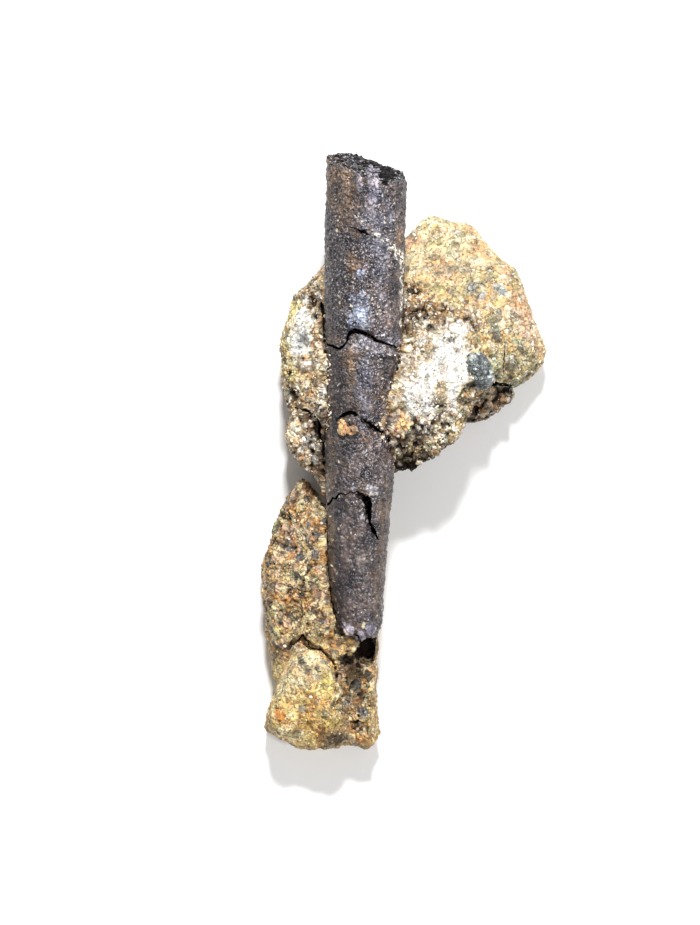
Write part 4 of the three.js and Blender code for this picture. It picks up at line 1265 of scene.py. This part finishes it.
LOWER_PATCHES = [
    (srgb(144, 110, 66), 0.8, SOFT, (0.35, 0.74, 0.7, 0.36)),
    (srgb(156, 128, 97), 0.8, SOFT, (0.33, 0.82, 0.30, 0.10), (0.30, 0.95, 0.12, 0.03)),
    (PINK, 0.45, SOFT, (0.36, 0.80, 0.10, 0.04), (0.25, 0.72, 0.08, 0.03), (0.50, 0.62, 0.06, 0.05)),
    (OCHRE, 0.5, SOFT, (0.30, 0.86, 0.10, 0.03), (0.42, 0.70, 0.06, 0.02), (0.31, 0.56, 0.14, 0.03),
     (0.50, 0.50, 0.08, 0.05), (0.15, 0.56, 0.06, 0.03)),
    (AMBER, 0.45, TORN, (0.20, 0.575, 0.11, 0.022), (0.42, 0.555, 0.09, 0.03), (0.28, 0.87, 0.08, 0.02)),
    (STRAW, 0.75, SOFT, (0.24, 0.64, 0.16, 0.03), (0.24, 0.45, 0.17, 0.05), (0.12, 0.70, 0.06, 0.04),
     (0.40, 0.90, 0.06, 0.02)),
    (LEMON, 0.7, CLEAR, (0.14, 0.425, 0.05, 0.03), (0.35, 0.47, 0.025, 0.02), (0.10, 0.52, 0.04, 0.02)),
    (MINT, 0.85, DEEP, (0.10, 0.82, 0.045, 0.035)),
    (MINT, 0.8, CLEAR, (0.12, 0.43, 0.025, 0.016), (0.46, 0.63, 0.02, 0.012)),
    (STONE, 0.8, CLEAR, (0.08, 0.605, 0.045, 0.024), (0.33, 0.60, 0.03, 0.012)),
    # Painted shade in the recess left of the toe.
    (UMBER, 0.9, SOFT, (0.12, 0.335, 0.08, 0.05)),
    # the toe
    (HONEY, 1.0, SOFT, (0.36, 0.19, 0.32, 0.19)),
    (srgb(246, 212, 132), 0.8, SOFT, (0.36, 0.11, 0.26, 0.06)),
    (CREAM, 1.0, SOFT, (0.39, 0.31, 0.15, 0.055), (0.22, 0.07, 0.14, 0.03), (0.25, 0.25, 0.10, 0.04)),
    (srgb(255, 246, 220), 0.7, SOFT, (0.40, 0.335, 0.09, 0.035), (0.33, 0.27, 0.08, 0.03)),
    (ASH, 0.9, CLEAR, (0.30, 0.385, 0.055, 0.028)),
    (srgb(255, 234, 150), 0.9, TORN, (0.56, 0.24, 0.055, 0.045), (0.60, 0.20, 0.045, 0.03)),
    (AMBER, 0.55, TORN, (0.401, 0.275, 0.03, 0.018), (0.45, 0.17, 0.07, 0.03), (0.32, 0.10, 0.09, 0.022),
     (0.26, 0.18, 0.05, 0.024), (0.50, 0.08, 0.05, 0.02)),
    (srgb(222, 142, 50), 0.9, TORN, (0.165, 0.135, 0.06, 0.028)),
    (STONE, 0.7, SOFT, (0.06, 0.15, 0.03, 0.04)),
    (srgb(210, 194, 118), 0.6, TORN, (0.60, 0.11, 0.045, 0.03)),
    # the channel to its right: dark brown, darker still as painted shade in its hollow
    (srgb(70, 54, 30), 1.0, SOFT, (0.76, 0.25, 0.13, 0.10)),
    (srgb(118, 84, 40), 0.85, SOFT, (0.78, 0.17, 0.14, 0.07)),
    (srgb(126, 110, 74), 0.8, CLEAR, (0.673, 0.27, 0.03, 0.04)),
    # Painted shadow in a pit in the channel and in the notch at the bottom.
    (BLACK, 0.95, TORN, (0.72, 0.34, 0.08, 0.02), (0.65, 0.045, 0.08, 0.02)),
    (UMBER, 0.8, TORN, (0.60, 0.05, 0.13, 0.04)),
    (srgb(84, 76, 72), 0.9, SOFT, (0.95, 0.36, 0.08, 0.07)),
    # Painted shade in the hole under the tooth's tip, and in a pit beside it.
    (BLACK, 1.0, HOLE, (0.885, 0.38, 0.10, 0.055), (0.82, 0.36, 0.06, 0.03)),
    (BLACK, 1.0, CLEAR, (0.81, 0.318, 0.025, 0.013)),
    (SKY, 0.6, CLEAR, (0.72, 0.19, 0.028, 0.018)),
    (AMBER, 0.8, CLEAR, (0.86, 0.24, 0.022, 0.035)),
    (MINT, 0.9, CLEAR, (0.89, 0.318, 0.035, 0.013)),
    (srgb(184, 150, 98), 0.9, SOFT, (0.82, 0.11, 0.14, 0.05)),
    (AMBER, 0.5, CLEAR, (0.80, 0.12, 0.04, 0.02), (0.83, 0.04, 0.05, 0.02)),
    # dark clasts
    (IRON, 0.9, CRISP, (0.393, 0.929, 0.024, 0.01), (0.27, 0.673, 0.014, 0.018), (0.476, 0.571, 0.03, 0.013),
     (0.34, 0.33, 0.026, 0.011), (0.785, 0.243, 0.045, 0.019, 35), (0.542, 0.56, 0.022, 0.01)),
    (SLATE, 0.85, CRISP, (0.204, 0.83, 0.022, 0.012), (0.385, 0.775, 0.03, 0.012),
     (0.377, 0.604, 0.025, 0.01), (0.356, 0.375, 0.024, 0.012), (0.467, 0.31, 0.024, 0.012),
     (0.52, 0.33, 0.03, 0.008, -20), (0.34, 0.155, 0.034, 0.015), (0.393, 0.30, 0.018, 0.007)),
    (BLACK, 0.85, CRISP, (0.187, 0.728, 0.03, 0.008), (0.111, 0.671, 0.04, 0.007),
     (0.294, 0.513, 0.033, 0.008, 20), (0.46, 0.51, 0.035, 0.011), (0.339, 0.545, 0.009, 0.012),
     (0.374, 0.695, 0.012, 0.007), (0.83, 0.213, 0.03, 0.009, 25), (0.171, 0.516, 0.02, 0.008),
     (0.23, 0.80, 0.015, 0.006)),
]
LOWER_LUMPS = [
    (None, 0.2, (0.467, 0.155, 0.074, 0.033), (0.344, 0.144, 0.041, 0.018), (0.583, 0.228, 0.058, 0.044),
     (0.52, 0.30, 0.058, 0.026), (0.40, 0.23, 0.058, 0.022), (0.27, 0.20, 0.066, 0.026),
     (0.20, 0.13, 0.066, 0.026), (0.33, 0.08, 0.074, 0.022), (0.78, 0.11, 0.066, 0.026),
     (0.80, 0.04, 0.058, 0.018), (0.30, 0.29, 0.05, 0.022), (0.62, 0.12, 0.05, 0.026),
     (0.86, 0.20, 0.041, 0.029), (0.15, 0.44, 0.058, 0.029), (0.12, 0.60, 0.05, 0.029),
     (0.22, 0.64, 0.058, 0.022)),
]
LOWER_CRUMBS = [
    (0.75, 0.9, SOFT, (0.4, 0.75, 0.5, 0.35)),
    (0.25, 1.0, SOFT, (0.33, 0.20, 0.32, 0.21)),
    (0.85, 0.9, SOFT, (0.78, 0.25, 0.15, 0.16)),
]
LOWER_CUTS = [
    [(0.14, 0.62, 0.06), (0.24, 0.605, 0.16), (0.34, 0.59, 0.2), (0.42, 0.585, 0.06)],
    [(0.25, 0.384, 0.06), (0.303, 0.402, 0.12), (0.332, 0.42, 0.2), (0.352, 0.427, 0.42),
     (0.373, 0.407, 0.2), (0.414, 0.38, 0.16), (0.467, 0.377, 0.14), (0.5, 0.372, 0.2), (0.533, 0.36, 0.2),
     (0.555, 0.349, 0.12), (0.599, 0.327, 0.06)],
]
LOWER_ROCK = dict(
    node="lower_matrix", piece="lower_rock", slot="ochre_sandstone", voxel=0.115, most=160000, base=GOLD,
    patches=LOWER_PATCHES, crumbs=LOWER_CRUMBS, lumps=LOWER_LUMPS, crease_depth=0.0, cuts=LOWER_CUTS,
    gap_left=0.1,
    grains=[dict(count=2400, low=0.07, high=0.26, kinds=GOLD_LOOSE, seed=23),
            dict(count=130, low=0.2, high=0.4, kinds=DARK_LOOSE, seed=24, proud=0.1)])

# ---------------- the tooth

TOOTH_VOXEL = 0.112
TOOTH_MOST = 188000
TOOTH_ROUNDS = 26
TOOTH_SINK = 0.03
# The broken root: how far its face looks along the tooth, and where it begins.
END_FACING = (0.35, 0.75)
END_ALONG = (0.93, 0.95)
# Where the enamel turns from smooth to rough, and where the tip is broken off.
ROUGHENING = (0.25, 0.4)
TIP_EDGE = (0.035, 0.015)
ENAMEL_CELL = 0.5
ENAMEL_WARP = 0.3


class Tooth(Surface):
    """The tooth's surface with its own coordinates: across -1 to 1, and along from tip 0 to root 1."""

    SLICES = 40

    def __init__(self):
        mesh = smooth_mesh("tooth", TOOTH_VOXEL, TOOTH_ROUNDS, TOOTH_MOST, keeps_edges=True)
        super().__init__(mesh, *box_of("tooth"), ENAMEL_CELL, ENAMEL_WARP)
        self.along = self.share[:, 1]
        number = np.clip((self.along * self.SLICES).astype(int), 0, self.SLICES - 1)
        self.stations = (np.arange(self.SLICES) + 0.5) / self.SLICES
        self.spans = {}
        for axis in (0, 2):
            low = np.array([self.points[number == k, axis].min() for k in range(self.SLICES)])
            high = np.array([self.points[number == k, axis].max() for k in range(self.SLICES)])
            self.spans[axis] = (low + high) / 2, (high - low) / 2
        self.across, self.level = (self.off_centre(axis) for axis in (0, 2))

    def span(self, axis, along):
        """The tooth's centre and half its thickness along an axis, at a place along it."""
        centres, halves = self.spans[axis]
        return np.interp(along, self.stations, centres), np.interp(along, self.stations, halves)

    def off_centre(self, axis):
        """How far each vertex is from the tooth's middle line, from -1 to 1."""
        centre, half = self.span(axis, self.along)
        return (self.points[:, axis] - centre) / half

    def route(self, points):
        """A crack's points, given across, along and a width, in millimetres."""
        made = []
        for across, along, width in points:
            centre, half = self.span(0, along)
            made.append((centre + across * half, self.low[1] + along * self.size[1], width))
        return made

    def spot(self, across, along, reach_across, reach_along, edge=SOFT):
        """How much each vertex belongs to a patch given in the tooth's own coordinates."""
        away = np.hypot((self.across - across) / reach_across, (self.along - along) / reach_along)
        return self.faded(away, edge)


ENAMEL = srgb(78, 70, 70)
END_TONE = srgb(32, 35, 42)
CHIP_TONE = srgb(130, 128, 134)
# The groups are as above, with each patch's place across (-1 to 1) and along (0 at the tip, 1 at the root).
TOOTH_PATCHES = [
    # Painted shade: the left flank darker.
    (srgb(56, 51, 53), 0.85, SOFT, (-0.8, 0.5, 0.35, 0.6), (-0.5, 0.75, 0.3, 0.1)),
    (srgb(62, 56, 56), 0.7, SOFT, (0.45, 0.19, 0.3, 0.1)),
    (srgb(104, 84, 62), 0.7, TORN, (-0.5, 0.91, 0.26, 0.07), (-0.8, 0.94, 0.2, 0.05),
     (0.85, 0.825, 0.08, 0.03), (-0.35, 0.56, 0.12, 0.05), (-0.3, 0.76, 0.14, 0.04)),
    (srgb(92, 76, 58), 0.5, SOFT, (0.75, 0.12, 0.14, 0.16), (-0.9, 0.3, 0.15, 0.3), (0.8, 0.27, 0.2, 0.06)),
    # Painted highlight: the bluish-white reflection on the enamel, and a small glint above it.
    (srgb(134, 148, 172), 0.8, TORN, (-0.1, 0.672, 0.26, 0.036), (-0.02, 0.69, 0.14, 0.03),
     (-0.12, 0.75, 0.1, 0.01)),
    (AMBER, 0.6, CRISP, (0.04, 0.706, 0.03, 0.006)),
    # Painted sheen: bluish reflections on the centre-right, and a light reflection band below the chip.
    (srgb(112, 116, 132), 0.5, SOFT, (0.05, 0.53, 0.2, 0.08), (0.3, 0.85, 0.35, 0.06),
     (0.4, 0.75, 0.2, 0.06)),
    # Painted highlight on the ridge near the broken root.
    (srgb(150, 146, 160), 0.8, CLEAR, (0.18, 0.93, 0.14, 0.05), (0.3, 0.955, 0.14, 0.02),
     (-0.15, 0.93, 0.1, 0.02)),
    (srgb(52, 47, 47), 0.7, SOFT, (0.55, 0.14, 0.06, 0.14), (-0.05, 0.958, 0.1, 0.012)),
    (BLACK, 1.0, TORN, (0.5, 0.952, 0.18, 0.02), (0.64, 0.95, 0.12, 0.012), (0.3, 0.975, 0.3, 0.006)),
    # Painted shadow under the step at the lower edge of the chip.
    (BLACK, 0.8, TORN, (-0.1, 0.584, 0.42, 0.005), (0.55, 0.58, 0.38, 0.005)),
    (srgb(112, 94, 76), 0.5, SOFT, (-0.3, 0.54, 0.1, 0.05)),
    # Painted reflection: the dark streaks between the light bands below the chip.
    (srgb(44, 40, 42), 0.5, SOFT, (-0.08, 0.53, 0.07, 0.06), (0.6, 0.55, 0.1, 0.04)),
    (srgb(160, 158, 176), 0.75, TORN, (-0.5, 0.02, 0.32, 0.014), (0.0, 0.008, 0.28, 0.014),
     (0.5, 0.024, 0.3, 0.012)),
    (CHALK, 0.7, TORN, (-0.62, 0.018, 0.1, 0.005)),
    (srgb(224, 220, 178), 0.9, CRISP, (0.2, 0.032, 0.06, 0.008)),
    # Painted highlights and painted glints on the ridge above the lowest crack.
    (srgb(150, 150, 160), 0.75, TORN, (0.38, 0.312, 0.26, 0.008), (0.14, 0.255, 0.09, 0.005)),
    (srgb(204, 206, 214), 0.85, TORN, (-0.15, 0.311, 0.1, 0.005), (0.3, 0.316, 0.1, 0.004)),
    (srgb(196, 186, 164), 0.8, CLEAR, (0.42, 0.3025, 0.14, 0.003)),
]
# Where a whitish crust runs down the right flank: the places as above.
TOOTH_CRUST = [
    (0.3, 0.828, 0.1, 0.004), (0.52, 0.818, 0.1, 0.004), (0.68, 0.805, 0.1, 0.008),
     (0.82, 0.79, 0.09, 0.014),
    (0.93, 0.765, 0.06, 0.035), (0.95, 0.70, 0.03, 0.03), (0.96, 0.645, 0.02, 0.012),
]
# Where the painted glints gather as silvery specks: how many, then the place as above.
TOOTH_SILVER = [
    (0.5, 0.35, 0.80, 0.5, 0.22), (0.3, -0.6, 0.78, 0.4, 0.2), (0.4, 0.1, 0.66, 0.5, 0.1),
     (0.4, 0.25, 0.5, 0.4, 0.12),
    (0.4, 0.2, 0.32, 0.6, 0.08), (0.15, 0.3, 0.12, 0.4, 0.2),
]
# Lumps on the broken tip: the place, and the reach across and along.
TIP_LUMPS = [(-0.5, 0.018, 0.34, 0.013), (0.0, 0.007, 0.32, 0.013), (0.5, 0.02, 0.34, 0.013)]
# Where the enamel is chipped off beside the middle crack, and how far along that goes.
CHIP = (0.25, 0.604, 0.78, 0.02)
CHIP_TOP = 0.632
# The cracks' routes: across, along, and the width in millimetres.
TOOTH_CRACKS = [
    [(-0.36, 0.845, 0.14), (-0.24, 0.841, 0.24), (-0.12, 0.837, 0.36), (0.0, 0.832, 0.3),
     (0.14, 0.827, 0.12)],
    [(-0.28, 0.016, 0.1), (-0.08, 0.012, 0.3), (0.1, -0.01, 0.3)],
    [(-1.13, 0.612, 0.36), (-0.78, 0.601, 0.38), (-0.62, 0.597, 0.4), (-0.46, 0.608, 0.26),
     (-0.38, 0.63, 0.34), (-0.22, 0.636, 0.48), (0.02, 0.63, 0.5), (0.31, 0.616, 0.4), (0.6, 0.608, 0.34),
     (1.0, 0.597, 0.2)],
    [(-0.69, 0.453, 0.12), (-0.47, 0.465, 0.38), (-0.24, 0.469, 0.4), (-0.05, 0.461, 0.16)],
    [(0.05, 0.455, 0.12), (0.1, 0.451, 0.36), (0.29, 0.44, 0.5), (0.52, 0.432, 0.3), (0.58, 0.42, 0.16),
     (0.62, 0.4, 0.1)],
    [(-1.08, 0.2905, 0.4), (-0.98, 0.2795, 0.5), (-0.85, 0.2845, 0.36), (-0.78, 0.2935, 0.3),
     (-0.7, 0.2915, 0.4), (-0.63, 0.2997, 0.3), (-0.5, 0.3038, 0.22), (-0.41, 0.299, 0.34),
     (-0.28, 0.3055, 0.16), (-0.15, 0.3035, 0.26), (-0.07, 0.3075, 0.16)],
    [(-0.08, 0.3075, 0.14), (0.0, 0.3015, 0.6), (0.1, 0.296, 0.9), (0.24, 0.2915, 0.88),
     (0.36, 0.289, 0.55)],
    [(0.315, 0.2935, 0.55), (0.32, 0.2875, 0.58), (0.322, 0.27, 0.56), (0.33, 0.251, 0.48),
     (0.35, 0.2426, 0.36), (0.42, 0.236, 0.38), (0.505, 0.228, 0.44), (0.63, 0.213, 0.3),
     (0.69, 0.207, 0.08)],
]


# How high the tooth's relief is, in millimetres, and how many flutes run round it.
FLUTES = 9
FLUTE_HEIGHT = 0.02
TIP_LUMP_HEIGHT = 0.35
TIP_DROP = 0.2


def tip_lumps(tooth):
    """The height of the lumps on the broken tip."""
    uneven = 0.4 + 1.2 * tooth.fine[:, 2]
    height = np.zeros(len(tooth.points))
    for across, along, reach_across, reach_along in TIP_LUMPS:
        away = ((tooth.across - across) / reach_across) ** 2 + ((tooth.along - along) / reach_along) ** 2
        height = np.maximum(height, TIP_LUMP_HEIGHT * np.clip(1 - uneven * away, 0, 1))
    return height * (tooth.normals[:, 2] > -0.2)


def enamel_relief(tooth, end, chip):
    """Pits, lumps and faint flutes in the enamel, and its rough broken places, in millimetres."""
    flutes = np.sin(np.arctan2(tooth.level, tooth.across) * FLUTES + 3 * tooth.broad[:, 0])
    relief = FLUTE_HEIGHT * flutes + 0.3 * (tooth.middle[:, 1] - 0.5) + 0.5 * (tooth.fine[:, 0] - 0.5)
    dome = (0.3 + tooth.cell_colour[:, 1]) * (1 - np.minimum(tooth.cell_distance / 0.6, 1.2) ** 2)
    relief += 0.04 * dome
    relief += tip_lumps(tooth) - TIP_DROP * smoothstep(*TIP_EDGE, tooth.along)
    relief += 0.5 * (tooth.fine[:, 1] - 0.5) * smoothstep(0.05, 0.02, tooth.along)
    relief += end * (0.9 * (tooth.middle[:, 2] - 0.5) + 0.6 * (tooth.fine[:, 2] - 0.5))
    return relief - TOOTH_SINK + chip * (0.14 + 1.1 * (tooth.fine[:, 2] - 0.5))


def build_tooth():
    """The tooth's surface, shaped and painted, with rough broken ends and a chip by the middle crack."""
    tooth = Tooth()
    facing = smoothstep(*END_FACING, tooth.normals[:, 1]) * smoothstep(*END_ALONG, tooth.along)
    end = np.clip(relaxed(facing[:, None], tooth.edges, 2)[:, 0], 0, 1)
    chip = tooth.spot(*CHIP, edge=TORN) * (tooth.along < CHIP_TOP)
    tooth.raise_by(enamel_relief(tooth, end, chip))
    tooth.settle()
    tint = np.tile(ENAMEL, (len(tooth.points), 1))
    for tone, share in ((END_TONE, end), (CHIP_TONE, 0.85 * chip)):
        tint += (tone - tint) * share[:, None]
    tint = tooth.painted(tint, TOOTH_PATCHES)
    # Painted glints, gathered in patches and on the broken root and the chip.
    silver = 0.12 + sum(level * tooth.spot(*place) for level, *place in TOOTH_SILVER)
    crust = sum(tooth.spot(*place, edge=CLEAR) for place in TOOTH_CRUST)
    black = smoothstep(0.03, 0.01, tint.max(1))
    # Painted shade in the pits of the broken root.
    pits = end * smoothstep(0.55, 0.45, tooth.fine[:, 2])
    store(tooth.mesh, tint=tint,
          rough=0.45 + 0.5 * smoothstep(*ROUGHENING, tooth.along),
          silver=np.clip(silver + 0.8 * end + 0.5 * chip, 0, 1),
          crust=np.clip(crust, 0, 1),
          cavity=0.95 * np.maximum(pits, black))
    return tooth


# The sand that sticks to the enamel: how far from the rock, between which places along, and the grains.
STUCK_REACH = 1.1
STUCK_ALONG = (0.33, 0.62)
STUCK_GRAINS = dict(count=420, low=0.06, high=0.22, kinds=PALE_LOOSE, seed=31, proud=0.5)


def stuck_grains(tooth, rock):
    """Sand that sticks to the top of the enamel beside the upper lump."""
    first, last = STUCK_ALONG
    beside = (tooth.along > first) & (tooth.along < last) & (tooth.normals[:, 2] > 0)
    keep = np.zeros(len(tooth.points))
    for index in np.flatnonzero(beside):
        point = Vector(tooth.points[index])
        found = rock.tree().find_nearest(point, STUCK_REACH)[0]
        if found is not None:
            keep[index] = (1 - (point - found).length / STUCK_REACH) ** 2
    keep *= smoothstep(0.5, 0.6, tooth.middle[:, 2] + 0.05)
    sandy = np.tile(BUFF, (len(tooth.points), 1))
    return scatter(tooth, sandy, keep, **STUCK_GRAINS)


# ---------------- the crumb and the pebble

CRUMB_VOXEL = 0.05
CRUMB_MOST = 20000
CRUMB_ROUNDS = 3
CRUMB_CELL = 0.7
CRUMB_WARP = 0.3
CRUMB_SAND = dict(cavity=0.0, pebbly=0.0, pitted=0.0, gappy=0.0, mottled=0.8, vivid=0.5)
CRUMB_TINT = srgb(208, 168, 132)
CRUMB_PATCHES = [
    (CREAM, 0.95, TORN, (0.15, 0.6, 0.16, 0.5), (0.45, 0.75, 0.14, 0.2)),
    (BUFF, 0.5, TORN, (0.45, 0.4, 0.2, 0.3)),
    (srgb(116, 74, 54), 0.9, TORN, (0.82, 0.5, 0.24, 0.5)),
]


def build_crumb(material):
    """The crumb of sandstone that clings to the tooth."""
    mesh = smooth_mesh("clinging_crumb", CRUMB_VOXEL, CRUMB_ROUNDS, CRUMB_MOST)
    crumb = Surface(mesh, *box_of("clinging_crumb"), CRUMB_CELL, CRUMB_WARP)
    crumb.raise_by(0.3 * (crumb.cell_colour[:, 0] - 0.5) + 0.2 * (crumb.fine[:, 0] - 0.5) - 0.05)
    crumb.settle()
    store(crumb.mesh, tint=crumb.painted(CRUMB_TINT, CRUMB_PATCHES), **CRUMB_SAND)
    finish_piece(crumb.mesh, "crumb", material, "clinging_crumb")


# The pebble's middle in shares of the upper lump's box, its half sizes in millimetres, its turn in degrees.
PEBBLE_PLACE = (0.742, 0.455, 0.80)
PEBBLE_HALF = np.array([1.3, 2.0, 1.7])
PEBBLE_TURN = 22
PEBBLE_CELL = 0.8
PEBBLE_WARP = 0.4
# Below its widest place the pebble reaches this much deeper, so it sits in the rock on all sides.
PEBBLE_ROOT = 1.95


def pebble_mesh(centre):
    """An egg with its long end down, in millimetres."""
    shape = bmesh.new()
    bmesh.ops.create_icosphere(shape, subdivisions=6, radius=1)
    mesh = bpy.data.meshes.new("dark_pebble")
    shape.to_mesh(mesh)
    shape.free()
    turn = np.array(Matrix.Rotation(math.radians(PEBBLE_TURN), 3, "Z"))
    places = points_of(mesh) * PEBBLE_HALF
    places[:, 2] *= np.where(places[:, 2] < 0, PEBBLE_ROOT, 1.0)
    put_points(mesh, places @ turn.T + centre)
    return mesh


def build_pebble():
    """The dark crystalline pebble between the ledge and the back lobe."""
    low, high = box_of("upper_matrix")
    centre = low + np.array(PEBBLE_PLACE) * (high - low)
    low, high = centre - PEBBLE_HALF, centre + PEBBLE_HALF
    pebble = Surface(pebble_mesh(centre), low, high, PEBBLE_CELL, PEBBLE_WARP)
    relief = 0.3 * (pebble.cell_colour[:, 0] - 0.5) + 0.5 * (pebble.middle[:, 0] - 0.5)
    pebble.raise_by(relief + 0.35 * (pebble.fine[:, 0] - 0.5) - 0.04)
    pebble.settle()
    finish_piece(pebble.mesh, "dark_pebble", pebble_material(), None)


# ---------------- floor, light, camera

FLOOR_SIZE = 3.0
# The softboxes: name, power, size, and the way from the middle of the object, in metres.
LIGHTS = [("key", 5.8, 0.08, (0.0, 0.42, 0.52)), ("window", 2.4, 0.14, (0.30, -0.16, 0.60))]
SKY_LIGHT = 0.34
CAMERA_HEIGHT = 0.9
SENSOR = 36.0
# What the picture's long side shows, and how far the camera stands aside, as shares of the object's size.
VIEW_LENGTH = 1.542
VIEW_ASIDE = -0.189
VIEW_DOWN = -0.0166


def add_floor():
    """The floor under the stone."""
    bpy.ops.mesh.primitive_plane_add(size=FLOOR_SIZE, location=(0, 0, CAD_LOW.z))
    floor = bpy.context.object
    floor.name = "floor"
    floor.data.materials.append(floor_material())


def add_light(name, power, size, way, target):
    """A square softbox that faces the target."""
    lamp = bpy.data.lights.new(name, "AREA")
    lamp.energy = power
    lamp.size = size
    thing = linked_object(name, lamp)
    thing.location = target + Vector(way)
    thing.rotation_euler = (target - thing.location).to_track_quat("-Z", "Y").to_euler()


def add_camera(centre, size):
    """A camera straight above, framed as the photograph is."""
    lens = bpy.data.cameras.new("camera")
    lens.sensor_width = SENSOR
    lens.lens = SENSOR * CAMERA_HEIGHT / (VIEW_LENGTH * size.y)
    lens.clip_start = 0.01
    thing = linked_object("camera", lens)
    thing.location = centre + Vector((VIEW_ASIDE * size.x, VIEW_DOWN * size.y, CAMERA_HEIGHT))
    bpy.context.scene.camera = thing


def add_world():
    """Even white light from all round."""
    world = bpy.data.worlds.new("studio")
    world.use_nodes = True
    sky = world.node_tree.nodes["Background"]
    sky.inputs["Color"].default_value = (1, 1, 1, 1)
    sky.inputs["Strength"].default_value = SKY_LIGHT
    bpy.context.scene.world = world


def build_studio():
    """The camera, the floor and the lights."""
    centre = (CAD_LOW + CAD_HIGH) / 2
    add_camera(centre, CAD_HIGH - CAD_LOW)
    add_floor()
    for light in LIGHTS:
        add_light(*light, centre)
    add_world()
    bpy.context.scene.view_settings.view_transform = "Standard"


# ---------------- everything, in order

def build_fossil():
    """The rocks with their grains, the pebble, the tooth with its cracks, and the crumb."""
    pale = sandstone_material("pale_sandstone", PALE_KINDS, PALE_PEBBLES, srgb(232, 190, 140))
    gold = sandstone_material("ochre_sandstone", GOLD_KINDS, GOLD_PEBBLES, srgb(214, 150, 72))
    loose = grain_material()
    tooth = build_tooth()
    upper, lots = build_rock(tooth, pale, **UPPER_ROCK)
    lots.append(stuck_grains(tooth, upper))
    grains_piece("upper_grains", lots, loose)
    _, lots = build_rock(tooth, gold, **LOWER_ROCK)
    grains_piece("lower_grains", lots, loose)
    build_pebble()
    enamel = finish_piece(tooth.mesh, "tooth_enamel", enamel_material(), "tooth")
    cut_out(enamel, [tooth.route(crack) for crack in TOOTH_CRACKS], tooth)
    build_crumb(gold)


build_studio()
build_fossil()
